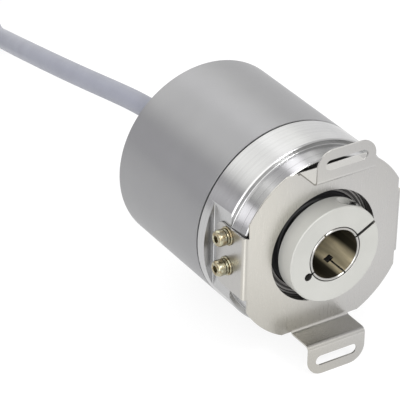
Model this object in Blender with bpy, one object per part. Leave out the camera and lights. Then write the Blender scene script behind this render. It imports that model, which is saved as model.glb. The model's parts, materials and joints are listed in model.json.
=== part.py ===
"""Rotary encoder: 58 mm hollow-shaft type with a sheet-metal stator coupling and an axial cable.

Metres, +Z up. The shaft's axis is the Y axis and the shaft side looks along -Y. The origin lies on
that axis, in the plane of the front faces of the coupling's two feet.
"""

import math

import bmesh
import bpy
import numpy as np
from mathutils import Matrix, Vector

MM = 0.001
CLEAR = 0.1  # between flat faces that touch on the real object

# Driving dimensions, in millimetres. A place along the shaft's axis is a Y value.
BODY_R = 29.0
HOUSING_FRONT = 28.55
HOUSING_BACK = 70.5
HOUSING_WALL = 1.9
HOUSING_FLOOR = 2.5
HOUSING_EDGE = 0.9  # size of the rounded rear edge
SHOULDER = 28.05  # where the flange's rim ends and its spigot enters the housing
RIM_FRONT = 16.3
COLLAR_FRONT = 10.5
COLLAR_R = 27.4
NOSE_R = 26.7
BAND_SPLIT = 13.0  # a step between the collar's two bands
RIM_CHAMFER = 0.45
NOSE_CHAMFER = 0.35
RECESS_R = 18.0
RECESS_BACK = 12.6
SEAL_SEAT_R = 15.0
SEAL_SEAT_BACK = 16.2
LIP_R = 14.2
SPIGOT_R = 26.7
FLAT_X = 25.7  # the two milled flats that carry the coupling's ears
FLAT_BACK = 24.7
BEARING_BORE_R = 16.0
SLEEVE_R = 19.5
SLEEVE_BACK = 39.5
SPIGOT_BACK = 33.0
CIRCLIP_GROOVE = (37.4, 38.8)
CIRCLIP_GROOVE_DEPTH = 0.9

SHEET = 0.5
PLATE_FRONT = 8.7
PLATE_R = 28.6
PLATE_HALF_X = 24.9
PLATE_HALF_Z = 25.5
PLATE_HOLE_R = 17.3
EAR_X = 26.3  # outer face of an ear
EAR_BEND_R = 1.4  # outer radius of the bend
EAR_BACK = 22.5
EAR_HALF_Z = 9.8
EAR_CORNER_R = 3.0
EAR_HOLE_R = 1.5
EAR_SCREW_Y = 17.1
EAR_SCREW_Z = (7.0, -2.6)  # on the -X ear; the +X ear is turned half way round the axis
EAR_SCREW_R = 1.2
EAR_SCREW_DEPTH = 6.5
EAR_HEAD_R = 2.35
EAR_HEAD_HEIGHT = 2.4
EAR_SOCKET = 2.0  # across the flats
FLAT_WASHER_R = 2.75
FLAT_WASHER_THICK = 0.5
SPRING_WASHER_R = 2.4
SPRING_WASHER_THICK = 0.75
FOOT_HALF_X = 9.6
FOOT_TIP_Z = 36.0
FOOT_CORNER_R = 5.0
FOOT_BEND_R = 1.25
FOOT_LEG_Z = 26.1  # middle of the sheet
SLOT_Z = 31.5
SLOT_LENGTH = 13.9
SLOT_WIDTH = 3.2

BORE_R = 7.5
BORE_BACK = 42.0
SHAFT_FRONT = 3.1
COLLET_R = 8.35
SHAFT_R = 10.0
COLLET_BACK = 12.3
TAIL_R = 9.0  # behind the rear bearing
SHAFT_BACK = 49.5
SHAFT_GROOVE = (36.4, 37.5)
SHAFT_GROOVE_R = 8.55
SLIT_TURN = math.radians(27.5)  # of the clamp ring's slit, from +X towards +Z
COLLET_SLOT = 0.9
COLLET_WINDOW = (2.2, 9.7, 11.9)  # width, front, back of the square end of a collet slot

RING_R = 14.8
RING_BORE_R = 8.55
RING_BACK = 9.4
RING_SLIT = 1.0
RELIEF_R = 1.2
RELIEF_AT = 9.85
CLAMP_SCREW_AT = 11.3
CLAMP_SEAT = 4.5  # from the slit's middle to the seat of the clamp screw's head
CLAMP_HEAD_R = 2.15
CLAMP_HEAD_HEIGHT = 2.5

FRONT_BEARING = (17.6, 24.6)
REAR_BEARING = (29.2, 36.2)
BEARING_R = 15.8
BEARING_BORE = 10.2
BALL_PITCH_R = 13.0
BALL_R = 1.6
BALLS = 10
OUTER_LAND_R = 14.3
INNER_LAND_R = 11.7
RACE_GAP = 0.2

POST_R = 2.3
POST_AT = 23.3
POST_TURNS = (90, 210, 330)
POST_HOLE_R = 1.6
POST_SCREW_DEPTH = 5.0
REAR_SCREW_R = 1.35
REAR_SCREW_HEAD_R = 2.85
REAR_SCREW_SINK = 1.75
HUB_FRONT = 43.0
HUB_BACK = 48.6
HUB_R = 12.2
DISC_SEAT_R = 10.6
DISC_R = 20.4
DISC_FRONT = 46.4
DISC_BACK = 47.4
BOARD_FRONT = 50.5
BOARD_BACK = 52.1
BOARD_R = 26.3
SENSOR_TURN = math.radians(150)
SENSOR_AT = 17.2

CABLE_R = 3.25
GLAND_X = -10.0
GLAND_Z = 10.2
GLAND_HOLE_R = 5.2
GLAND_THREAD_R = 4.9
GLAND_R = 6.5
GLAND_WASHER = 0.8
GLAND_NUT = 12.4  # across the flats
GLAND_POCKET = 73.7  # where the cable's jacket ends inside the gland
GLAND_BACK = 76.0
FLOOR_Z = -36.0  # the level on which the free end of the cable lies

# The cable's route, in order from the gland to the coil.
CABLE_ROUTE = [
    (-10.0, 74.0, 10.2),
    (-10.1, 80.0, 10.1),
    (-10.5, 87.3, 9.7),
    (-11.6, 101.3, 8.0),
    (-12.8, 114.0, 6.2),
    (-13.3, 133.3, 2.7),
    (-12.0, 148.3, -1.1),
    (-8.0, 168.3, -7.8),
    (-1.4, 189.0, -16.5),
    (6.9, 209.3, -26.4),
    (9.9, 217.6, -30.0),
    (12.3, 224.3, -32.0),
]
COIL_X = -16.0
COIL_Y = 259.1
COIL_INNER_R = 28.3
COIL_OUTER_R = 41.8
COIL_HEIGHT = 13.3
TIE_TURN = math.radians(90)
TIE_WIDTH = 4.6
TIE_THICK = 1.2

PLUG_X = -54.3
PLUG_Y = 221.0  # rear end of the plug; it points along -Y
PLUG_Z = -28.65
TAIL_TOP_Z = -26.2  # height of the cable where it leaves the coil's upper layer
TAIL_FRONT = 235.0


def clear_scene():
    for old in list(bpy.data.objects):
        bpy.data.objects.remove(old, do_unlink=True)


def material(name, colour, metallic, roughness):
    made = bpy.data.materials.new(name)
    made.use_nodes = True
    shader = made.node_tree.nodes["Principled BSDF"]
    shader.inputs["Base Color"].default_value = (*colour, 1.0)
    shader.inputs["Metallic"].default_value = metallic
    shader.inputs["Roughness"].default_value = roughness
    made.diffuse_color = (*colour, 1.0)
    return made


def about(x, y, z):
    return Matrix.Translation(Vector((x, y, z)) * MM)


def turn_y(angle):
    """Turns from +X towards +Z."""
    return Matrix.Rotation(-angle, 4, "Y")


def finished(bm, place):
    bmesh.ops.remove_doubles(bm, verts=bm.verts, dist=1e-7)
    bm.transform(place)
    bmesh.ops.recalc_face_normals(bm, faces=bm.faces)
    if bm.calc_volume(signed=True) < 0:
        bmesh.ops.reverse_faces(bm, faces=bm.faces)
    return bm


def turned(profile, steps, place=None):
    """The solid that a profile of (radius, y) points makes round the Y axis."""
    bm = bmesh.new()
    verts = [bm.verts.new((r * MM, y * MM, 0)) for r, y in profile]
    edges = [bm.edges.new(pair) for pair in zip(verts, verts[1:])]
    if profile[0][0] > 0 or profile[-1][0] > 0:
        edges.append(bm.edges.new((verts[-1], verts[0])))
    bmesh.ops.spin(
        bm,
        geom=verts + edges,
        cent=(0, 0, 0),
        axis=(0, 1, 0),
        angle=2 * math.pi,
        steps=steps,
        use_merge=True,
    )
    return finished(bm, place or Matrix())


def tube(inner, outer, front, back, steps, chamfer=0.0):
    """A turned ring with its outer edges chamfered."""
    profile = [(inner, front), (outer - chamfer, front), (outer, front + chamfer)]
    profile += [(outer, back - chamfer), (outer - chamfer, back), (inner, back)]
    if chamfer == 0:
        profile = [(inner, front), (outer, front), (outer, back), (inner, back)]
    return turned(profile, steps)


def disc(radius, front, back, steps, place=None):
    return turned([(0, front), (radius, front), (radius, back), (0, back)], steps, place)


def extruded(outline, low, high, place=None):
    """A prism along Y whose outline is given as (x, z) points."""
    bm = bmesh.new()
    face = bm.faces.new([bm.verts.new((x * MM, low * MM, z * MM)) for x, z in outline])
    grown = bmesh.ops.extrude_face_region(bm, geom=[face])["geom"]
    moved = [g for g in grown if isinstance(g, bmesh.types.BMVert)]
    bmesh.ops.translate(bm, verts=moved, vec=(0, (high - low) * MM, 0))
    return finished(bm, place or Matrix())


def block(low, high, place=None):
    """A box from one corner to the other, as (x, y, z) points."""
    outline = [(low[0], low[2]), (high[0], low[2]), (high[0], high[2]), (low[0], high[2])]
    return extruded(outline, low[1], high[1], place)


def arc(x, z, radius, start, end, steps):
    angles = [math.radians(start + (end - start) * i / steps) for i in range(steps + 1)]
    return [(x + radius * math.cos(a), z + radius * math.sin(a)) for a in angles]


def regular(sides, across, turn=0.0):
    """A regular outline measured across its flats."""
    radius = across / 2 / math.cos(math.pi / sides)
    return arc(0, 0, radius, turn, turn + 360 - 360 / sides, sides - 1)


def together(*pieces):
    """One bmesh that holds all the pieces."""
    whole = bmesh.new()
    for piece in pieces:
        carrier = bpy.data.meshes.new("carrier")
        piece.to_mesh(carrier)
        piece.free()
        whole.from_mesh(carrier)
        bpy.data.meshes.remove(carrier)
    return whole


def placed(name, data, parent):
    obj = bpy.data.objects.new(name, data)
    bpy.context.scene.collection.objects.link(obj)
    obj.parent = parent
    return obj


def node(name, bm, finish, parent=None, smooth=True):
    mesh = bpy.data.meshes.new(name)
    bm.to_mesh(mesh)
    bm.free()
    mesh.materials.append(finish)
    if smooth:
        mesh.shade_smooth()
        mesh.set_sharp_from_angle(angle=math.radians(35))
    return placed(name, mesh, parent)


def boolean(obj, operation, bm, name):
    """Cuts the shape in bm from the object, or joins it on."""
    mesh = bpy.data.meshes.new(name)
    bm.to_mesh(mesh)
    bm.free()
    helper = placed(name, mesh, obj.parent)
    helper.hide_render = True
    helper.display_type = "WIRE"
    modifier = obj.modifiers.new(name, "BOOLEAN")
    modifier.operation = operation
    modifier.object = helper
    modifier.solver = "EXACT"


def empty(name, x=0.0, y=0.0, z=0.0):
    made = placed(name, None, None)
    made.location = Vector((x, y, z)) * MM
    made.empty_display_size = 5 * MM
    return made


# --- Housing and flange --------------------------------------------------------------------------


def housing(finish):
    inner = BODY_R - HOUSING_WALL
    profile = [
        (0, HOUSING_BACK),
        (BODY_R - HOUSING_EDGE, HOUSING_BACK),
        (BODY_R - 0.27 * HOUSING_EDGE, HOUSING_BACK - 0.27 * HOUSING_EDGE),
        (BODY_R, HOUSING_BACK - HOUSING_EDGE),
        (BODY_R, HOUSING_FRONT + 0.15),
        (BODY_R - 0.15, HOUSING_FRONT),
        (inner, HOUSING_FRONT),
        (inner, HOUSING_BACK - HOUSING_FLOOR),
        (0, HOUSING_BACK - HOUSING_FLOOR),
    ]
    pot = node("housing", turned(profile, 44), finish)
    front, back = HOUSING_BACK - HOUSING_FLOOR - 1, HOUSING_BACK + 1
    holes = [disc(GLAND_HOLE_R, front, back, 24, about(GLAND_X, 0, GLAND_Z))]
    shank_r = REAR_SCREW_R + 0.45
    wide = shank_r + REAR_SCREW_SINK + 0.25
    seat, mouth = HOUSING_BACK - REAR_SCREW_SINK, HOUSING_BACK + 0.25
    sink = [(0, front), (shank_r, front), (shank_r, seat), (wide, mouth), (0, mouth)]
    holes += [turned(sink, 20, where) for where in post_places()]
    boolean(pot, "DIFFERENCE", together(*holes), "housing_holes")


def flange(finish):
    profile = [
        (RECESS_R, COLLAR_FRONT),
        (NOSE_R - NOSE_CHAMFER, COLLAR_FRONT),
        (NOSE_R, COLLAR_FRONT + NOSE_CHAMFER),
        (NOSE_R, BAND_SPLIT),
        (COLLAR_R, BAND_SPLIT + 0.2),
        (COLLAR_R, RIM_FRONT),
        (BODY_R - RIM_CHAMFER, RIM_FRONT),
        (BODY_R, RIM_FRONT + RIM_CHAMFER),
        (BODY_R, SHOULDER),
        (SPIGOT_R, SHOULDER),
        (SPIGOT_R, SPIGOT_BACK),
        (SLEEVE_R, SPIGOT_BACK),
        (SLEEVE_R, SLEEVE_BACK),
        (BEARING_BORE_R, SLEEVE_BACK),
        (BEARING_BORE_R, CIRCLIP_GROOVE[1]),
        (BEARING_BORE_R + CIRCLIP_GROOVE_DEPTH, CIRCLIP_GROOVE[1]),
        (BEARING_BORE_R + CIRCLIP_GROOVE_DEPTH, CIRCLIP_GROOVE[0]),
        (BEARING_BORE_R, CIRCLIP_GROOVE[0]),
        (BEARING_BORE_R, FRONT_BEARING[0] - CLEAR),
        (LIP_R, FRONT_BEARING[0] - CLEAR),
        (LIP_R, SEAL_SEAT_BACK),
        (SEAL_SEAT_R, SEAL_SEAT_BACK),
        (SEAL_SEAT_R, RECESS_BACK),
        (RECESS_R, RECESS_BACK),
    ]
    body = node("flange", turned(profile, 40), finish)
    reach = BODY_R + 2
    front = COLLAR_FRONT - 2
    flats = [
        block((FLAT_X, front, -reach), (reach, FLAT_BACK, reach)),
        block((-reach, front, -reach), (-FLAT_X, FLAT_BACK, reach)),
    ]
    boolean(body, "DIFFERENCE", together(*flats), "flange_flats")
    bottom = EAR_X - EAR_SCREW_DEPTH - 0.5
    holes = [disc(EAR_HOLE_R, bottom, FLAT_X + 1, 16, where) for where in ear_screw_places()]
    bottom = SPIGOT_BACK - POST_SCREW_DEPTH
    holes += [disc(POST_HOLE_R, bottom, SPIGOT_BACK + 1, 16, where) for where in post_places()]
    boolean(body, "DIFFERENCE", together(*holes), "flange_holes")


def housing_seal(finish):
    ring = tube(SPIGOT_R + 0.25, BODY_R - 0.3, SHOULDER + CLEAR, HOUSING_FRONT - CLEAR, 36)
    node("housing_seal", ring, finish)


# --- Stator coupling and its screws --------------------------------------------------------------


def ear_screw_places():
    """Where each ear screw stands: its own Y axis runs outwards along the row's X axis."""
    outwards = {-1: Matrix.Rotation(math.pi / 2, 4, "Z"), 1: Matrix.Rotation(-math.pi / 2, 4, "Z")}
    return [
        about(0, EAR_SCREW_Y, -side * z) @ outwards[side] for side in (-1, 1) for z in EAR_SCREW_Z
    ]


def strip(path, width, place):
    """A bent strip of sheet: path gives its middle as (x, z) points, and it is width wide along Y."""
    middle = np.array(path)
    along = np.gradient(middle, axis=0)
    along /= np.linalg.norm(along, axis=1)[:, None]
    side = np.stack([-along[:, 1], along[:, 0]], 1) * SHEET / 2
    outline = [tuple(p) for p in middle + side] + [tuple(p) for p in (middle - side)[::-1]]
    return extruded(outline, -width / 2, width / 2, place)


def bend(path, corner, radius, start, end):
    """Adds a rounded corner to a path, with its ends exactly on the two straights."""
    path += arc(corner[0], corner[1], radius, start, end, 6)


def ear_strip(side):
    """Local x is the row's |X| and local z is the row's Y."""
    middle_r = EAR_BEND_R - SHEET / 2
    plane = PLATE_FRONT + SHEET / 2
    path = [(PLATE_HALF_X - 2.5, plane), (PLATE_HALF_X - 1.2, plane)]
    bend(path, (EAR_X - EAR_BEND_R, PLATE_FRONT + EAR_BEND_R), middle_r, -90, 0)
    path += [(EAR_X - SHEET / 2, PLATE_FRONT + EAR_BEND_R + 1.5), (EAR_X - SHEET / 2, EAR_BACK)]
    stand = Matrix(((side, 0, 0, 0), (0, 0, 1, 0), (0, 1, 0, 0), (0, 0, 0, 1)))
    return strip(path, 2 * EAR_HALF_Z, stand)


def foot_strip(side):
    """Local x is the row's |Z| and local z is the row's Y."""
    plane = PLATE_FRONT + SHEET / 2
    face = SHEET / 2
    path = [(PLATE_HALF_Z - 2.5, plane), (PLATE_HALF_Z - 1.2, plane)]
    bend(path, (FOOT_LEG_Z - FOOT_BEND_R, plane - FOOT_BEND_R), FOOT_BEND_R, 90, 0)
    path += [(FOOT_LEG_Z, plane - 2.4), (FOOT_LEG_Z, face + 2.4)]
    bend(path, (FOOT_LEG_Z + FOOT_BEND_R, face + FOOT_BEND_R), FOOT_BEND_R, 180, 270)
    path += [(FOOT_LEG_Z + 2.4, face), (FOOT_TIP_Z, face)]
    stand = Matrix(((0, 1, 0, 0), (0, 0, 1, 0), (side, 0, 0, 0), (0, 0, 0, 1)))
    return strip(path, 2 * FOOT_HALF_X, stand)


def corner_cutter(x, y, radius, place, thick):
    """The waste outside a rounded corner at (x, y), for positive x and y."""
    over = 1.0
    outline = arc(x - radius, y - radius, radius, 0, 90, 6)
    outline = [(x + over, y - radius)] + outline + [(x - radius, y + over), (x + over, y + over)]
    return extruded(outline, -thick, thick, place)


def stator_coupling(finish):
    edge_x = math.degrees(math.acos(PLATE_HALF_X / PLATE_R))
    edge_z = math.degrees(math.asin(PLATE_HALF_Z / PLATE_R))
    outline = []
    for quarter in range(4):
        low, high = (edge_x, edge_z) if quarter % 2 == 0 else (90 - edge_z, 90 - edge_x)
        outline += arc(0, 0, PLATE_R, 90 * quarter + low, 90 * quarter + high, 8)
    plate = extruded(outline, PLATE_FRONT, PLATE_FRONT + SHEET)
    body = node("stator_coupling", plate, finish)
    arms = [ear_strip(1), ear_strip(-1), foot_strip(1), foot_strip(-1)]
    boolean(body, "UNION", together(*arms), "coupling_arms")

    waste = [disc(PLATE_HOLE_R, PLATE_FRONT - 2, PLATE_FRONT + 2, 40)]
    half = SLOT_LENGTH / 2 - SLOT_WIDTH / 2
    slot = arc(half, 0, SLOT_WIDTH / 2, -90, 90, 8) + arc(-half, 0, SLOT_WIDTH / 2, 90, 270, 8)
    for up in (1, -1):
        waste.append(extruded(slot, -1, 1.5, about(0, 0, up * SLOT_Z)))
        for side in (1, -1):
            mirror = Matrix.Diagonal((side, 1, up, 1))
            waste.append(corner_cutter(FOOT_HALF_X, FOOT_TIP_Z, FOOT_CORNER_R, mirror, 1.5))
    for side in (1, -1):
        for up in (1, -1):
            stand = Matrix(((0, side, 0, 0), (0, 0, 1, 0), (up, 0, 0, 0), (0, 0, 0, 1)))
            stand = about(side * EAR_X, 0, 0) @ stand
            waste.append(corner_cutter(EAR_HALF_Z, EAR_BACK, EAR_CORNER_R, stand, 1.5))
    waste += [disc(EAR_HOLE_R, EAR_X - 2, EAR_X + 2, 16, where) for where in ear_screw_places()]
    boolean(body, "DIFFERENCE", together(*waste), "coupling_waste")


def coupling_fasteners(finish):
    """Each ear screw with its spring washer and flat washer."""
    flat = EAR_X + CLEAR
    spring = flat + FLAT_WASHER_THICK + CLEAR
    head = spring + SPRING_WASHER_THICK + CLEAR
    top = head + EAR_HEAD_HEIGHT
    screw = [
        (0, EAR_X - EAR_SCREW_DEPTH),
        (EAR_SCREW_R, EAR_X - EAR_SCREW_DEPTH),
        (EAR_SCREW_R, head),
        (EAR_HEAD_R, head),
        (EAR_HEAD_R, top - 0.9),
        (EAR_HEAD_R - 0.2, top - 0.4),
        (EAR_HEAD_R - 0.7, top),
        (0, top),
    ]
    for number, where in enumerate(ear_screw_places(), 1):
        made = node(f"coupling_screw_{number}", turned(screw, 20, where), finish)
        socket = extruded(regular(6, EAR_SOCKET), top - 1.6, top + 1, where)
        boolean(made, "DIFFERENCE", socket, f"coupling_socket_{number}")
        ring = tube(EAR_HOLE_R, FLAT_WASHER_R, flat, flat + FLAT_WASHER_THICK, 20)
        ring.transform(where)
        node(f"flat_washer_{number}", ring, finish)
        back = spring + SPRING_WASHER_THICK
        coil = split_ring(EAR_HOLE_R, SPRING_WASHER_R, spring, back, 14, 20)
        coil.transform(where)
        node(f"spring_washer_{number}", coil, finish)


def split_ring(inner, outer, front, back, gap, steps):
    """A flat ring with a gap of that many degrees, centred on +X."""
    outline = arc(0, 0, outer, gap / 2, 360 - gap / 2, steps)
    outline += arc(0, 0, inner, 360 - gap / 2, gap / 2, steps)
    return extruded(outline, front, back)


# --- Bearings ------------------------------------------------------------------------------------


def race(edge, mid_y):
    """Points of a raceway groove on the ring whose edge has that radius."""
    side = 1 if edge > BALL_PITCH_R else -1
    groove = BALL_R + RACE_GAP
    reach = abs(edge - BALL_PITCH_R)
    widest = math.degrees(math.acos(reach / groove))
    points = []
    for i in range(5):
        a = math.radians(-widest + 2 * widest * i / 4)
        points.append((BALL_PITCH_R + side * groove * math.cos(a), mid_y + groove * math.sin(a)))
    return points


def bearing(name, span, finish, cage_finish, rotor, cage):
    front, back = span
    middle = (front + back) / 2
    rings = ("outer_ring", BEARING_R, OUTER_LAND_R, None), ("inner_ring", BEARING_BORE, INNER_LAND_R, rotor)
    for kind, far, land, parent in rings:
        profile = [(far, back), (far, front), (land, front)] + race(land, middle) + [(land, back)]
        node(f"{name}_{kind}", turned(profile, 24), finish, parent)
    balls = []
    for i in range(BALLS):
        ball = bmesh.new()
        bmesh.ops.create_uvsphere(ball, u_segments=6, v_segments=4, radius=BALL_R * MM)
        a = 2 * math.pi * i / BALLS
        ball.transform(turn_y(a) @ about(BALL_PITCH_R, middle, 0))
        balls.append(ball)
    ring = tube(BALL_PITCH_R - 0.5, BALL_PITCH_R + 0.5, middle - 0.6, middle + 0.6, 20)
    made = node(f"{name}_ball_cage", ring, cage_finish, cage)
    boolean(made, "UNION", together(*balls), f"{name}_balls")


def bearing_parts(steel, brass, rubber, rotor, front_cage, rear_cage):
    bearing("front_bearing", FRONT_BEARING, steel, brass, rotor, front_cage)
    bearing("rear_bearing", REAR_BEARING, steel, brass, rotor, rear_cage)
    front, back = FRONT_BEARING[1] + 2 * CLEAR, REAR_BEARING[0] - 2 * CLEAR
    node("outer_spacer", tube(14.4, BEARING_R, front, back, 24), steel)
    node("inner_spacer", tube(BEARING_BORE, 11.5, front, back, 24), steel, rotor)
    clearance = (CIRCLIP_GROOVE[0] - REAR_BEARING[1]) / 2
    node("preload_spring", wave_spring(REAR_BEARING[1] + clearance, 14.5, 15.6), steel)
    front, back = CIRCLIP_GROOVE[0] + 0.3, CIRCLIP_GROOVE[1] - 0.3
    outer = BEARING_BORE_R + CIRCLIP_GROOVE_DEPTH - 0.3
    node("bearing_circlip", split_ring(14.4, outer, front, back, 30, 22), steel)
    front, back = SHAFT_GROOVE[0] + CLEAR, SHAFT_GROOVE[1] - 2 * CLEAR
    node("shaft_circlip", split_ring(SHAFT_GROOVE_R + 0.3, 11.2, front, back, 50, 20), steel, rotor)
    seat_r, front, back = SEAL_SEAT_R - 0.3, RECESS_BACK + 0.3, SEAL_SEAT_BACK - 0.3
    lip_r = SHAFT_R + 0.3
    lip = [(seat_r, front), (seat_r, back), (lip_r + 0.3, back), (lip_r, back - 1.3), (lip_r + 0.6, front)]
    node("shaft_seal", turned(lip, 28), rubber)


def wave_spring(middle, inner, outer, waves=3, swing=0.25, thick=0.25, steps=30):
    """A thin ring that rises and falls along Y."""
    bm = bmesh.new()
    rings = []
    for i in range(steps):
        a = 2 * math.pi * i / steps
        y = middle + swing * math.sin(waves * a)
        corners = [(inner, y), (outer, y), (outer, y + thick), (inner, y + thick)]
        ring = [(r * math.cos(a), yy, r * math.sin(a)) for r, yy in corners]
        rings.append([bm.verts.new(Vector(p) * MM) for p in ring])
    for here, there in zip(rings, rings[1:] + rings[:1]):
        for k in range(4):
            bm.faces.new((here[k], here[k - 1], there[k - 1], there[k]))
    return finished(bm, Matrix())


# --- Rotor ---------------------------------------------------------------------------------------


def hollow_shaft(finish, rotor):
    profile = [
        (0, SHAFT_BACK),
        (TAIL_R - 0.4, SHAFT_BACK),
        (TAIL_R, SHAFT_BACK - 0.4),
        (TAIL_R, SHAFT_GROOVE[1]),
        (SHAFT_GROOVE_R, SHAFT_GROOVE[1]),
        (SHAFT_GROOVE_R, SHAFT_GROOVE[0]),
        (SHAFT_R, SHAFT_GROOVE[0]),
        (SHAFT_R, COLLET_BACK),
        (COLLET_R, COLLET_BACK),
        (COLLET_R, SHAFT_FRONT + 0.1),
        (COLLET_R - 0.1, SHAFT_FRONT),
        (BORE_R + 0.35, SHAFT_FRONT),
        (BORE_R, SHAFT_FRONT + 0.35),
        (BORE_R, BORE_BACK),
        (0, BORE_BACK + 2.0),
    ]
    shaft = node("hollow_shaft", turned(profile, 32), finish, rotor)
    width, front, back = COLLET_WINDOW
    low, high = BORE_R - 1.2, COLLET_R + 1
    cuts = []
    for quarter in range(4):
        where = turn_y(SLIT_TURN + quarter * math.pi / 2)
        half, wide = COLLET_SLOT / 2, width / 2
        outline = [(half, SHAFT_FRONT - 1), (half, front), (wide, front), (wide, back)]
        outline += [(-x, y) for x, y in reversed(outline)]
        stand = Matrix(((0, 1, 0, 0), (0, 0, 1, 0), (1, 0, 0, 0), (0, 0, 0, 1)))
        cuts.append(extruded(outline, low, high, where @ stand))
    boolean(shaft, "DIFFERENCE", together(*cuts), "collet_slots")


def clamp_ring(finish, rotor):
    chamfer = 0.3
    profile = [
        (RING_BORE_R, SHAFT_FRONT),
        (RING_R - chamfer, SHAFT_FRONT),
        (RING_R, SHAFT_FRONT + chamfer),
        (RING_R, RING_BACK - chamfer),
        (RING_R - chamfer, RING_BACK),
        (RING_BORE_R, RING_BACK),
    ]
    ring = node("clamp_ring", turned(profile, 36), finish, rotor)
    front, back = SHAFT_FRONT - 1, RING_BACK + 1
    opened = block((RING_BORE_R - 1, front, -RING_SLIT / 2), (RING_R + 1, back, RING_SLIT / 2))
    opened.transform(turn_y(SLIT_TURN))
    relief = disc(RELIEF_R, front, back, 20, about(-RELIEF_AT, 0, 0))
    relief.transform(turn_y(SLIT_TURN))
    boolean(ring, "DIFFERENCE", together(opened, relief), "ring_slit")
    neck = block((-RELIEF_AT, front, -0.45), (-RING_BORE_R + 1, back, 0.45))
    neck.transform(turn_y(SLIT_TURN))
    boolean(ring, "DIFFERENCE", neck, "ring_neck")
    pocket_r = CLAMP_HEAD_R + 0.3
    bore = [(0, -8.5), (1.6, -8.5), (1.6, CLAMP_SEAT), (pocket_r, CLAMP_SEAT), (pocket_r, 12), (0, 12)]
    boolean(ring, "DIFFERENCE", turned(bore, 20, clamp_screw_place()), "clamp_screw_hole")


def clamp_screw_place():
    """Its own Y axis points across the slit, towards the screw's head."""
    middle = (SHAFT_FRONT + RING_BACK) / 2
    stand = Matrix(((1, 0, 0, 0), (0, 0, -1, 0), (0, 1, 0, 0), (0, 0, 0, 1)))
    return turn_y(SLIT_TURN) @ about(CLAMP_SCREW_AT, middle, 0) @ stand


def clamp_screw(finish, rotor):
    head = CLAMP_SEAT + CLEAR
    top = head + CLAMP_HEAD_HEIGHT
    profile = [(0, -7.5), (1.25, -7.5), (1.25, head), (CLAMP_HEAD_R, head), (CLAMP_HEAD_R, top - 0.3)]
    profile += [(CLAMP_HEAD_R - 0.3, top), (0, top)]
    screw = node("clamp_screw", turned(profile, 20, clamp_screw_place()), finish, rotor)
    socket = extruded(regular(6, 2.0), top - 1.3, top + 1, clamp_screw_place())
    boolean(screw, "DIFFERENCE", socket, "clamp_socket")


def code_wheel(aluminium, glass, rotor):
    bore, step = TAIL_R + 0.2, DISC_FRONT - 0.2
    hub = [(bore, HUB_FRONT), (HUB_R, HUB_FRONT), (HUB_R, step), (DISC_SEAT_R, step)]
    hub += [(DISC_SEAT_R, HUB_BACK), (bore, HUB_BACK)]
    node("disc_hub", turned(hub, 24), aluminium, rotor)
    node("code_disc", tube(DISC_SEAT_R + 0.2, DISC_R, DISC_FRONT, DISC_BACK, 36), glass, rotor)


# --- Electronics ---------------------------------------------------------------------------------


def electronics(board, chip, white, glass):
    plate = node("main_board", disc(BOARD_R, BOARD_FRONT, BOARD_BACK, 36), board)
    holes = [disc(POST_HOLE_R, BOARD_FRONT - 1, BOARD_BACK + 1, 12, where) for where in post_places()]
    boolean(plate, "DIFFERENCE", together(*holes), "board_holes")
    sensor = about(SENSOR_AT * math.cos(SENSOR_TURN), 0, SENSOR_AT * math.sin(SENSOR_TURN))
    base, tip = SLEEVE_BACK + CLEAR, DISC_FRONT - 0.4
    lamp = [(0, base), (2.8, base), (2.8, tip - 2.4), (2.3, tip - 1.0), (1.2, tip - 0.2), (0, tip)]
    node("light_source", turned(lamp, 16, sensor), glass)
    reader = block((-3.6, DISC_BACK + 0.8, -3.6), (3.6, BOARD_FRONT - CLEAR, 3.6), sensor)
    node("detector", reader, chip, smooth=False)
    seat = BOARD_BACK + CLEAR
    node("processor_chip", block((2, seat, -8), (11, seat + 1.2, 1)), chip, smooth=False)
    node("lead_socket", block((-16, seat, 1), (-4, seat + 5.3, 6.5)), white, smooth=False)


def post_places():
    turns = [math.radians(degrees) for degrees in POST_TURNS]
    return [about(POST_AT * math.cos(a), 0, POST_AT * math.sin(a)) for a in turns]


def posts(brass, steel):
    """Three spacer posts on each side of the board, and the screws that hold the housing on them."""
    seat, stop = SPIGOT_BACK + CLEAR, BOARD_FRONT - CLEAR
    tip = SPIGOT_BACK - POST_SCREW_DEPTH + 0.5
    front = [(0, tip), (1.3, tip), (1.3, seat), (POST_R, seat), (POST_R, stop), (0, stop)]
    low, high = BOARD_BACK + CLEAR, HOUSING_BACK - HOUSING_FLOOR - CLEAR
    tapped_r = REAR_SCREW_R + 0.3
    rear = [(0, low), (POST_R, low), (POST_R, high), (tapped_r, high), (tapped_r, high - 6), (0, high - 6)]
    top = HOUSING_BACK - 0.15
    screw = [
        (0, high - 5),
        (REAR_SCREW_R, high - 5),
        (REAR_SCREW_R, HOUSING_BACK - REAR_SCREW_SINK),
        (REAR_SCREW_HEAD_R, top - 0.1),
        (REAR_SCREW_HEAD_R - 0.05, top),
        (0, top),
    ]
    for number, where in enumerate(post_places(), 1):
        node(f"board_post_{number}", turned(front, 12, where), brass)
        node(f"rear_post_{number}", turned(rear, 12, where), brass)
        made = node(f"housing_screw_{number}", turned(screw, 20, where), steel)
        socket = extruded(regular(6, 2.0), top - 1.1, top + 1, where)
        boolean(made, "DIFFERENCE", socket, f"rear_socket_{number}")


# --- Cable ---------------------------------------------------------------------------------------


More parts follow.
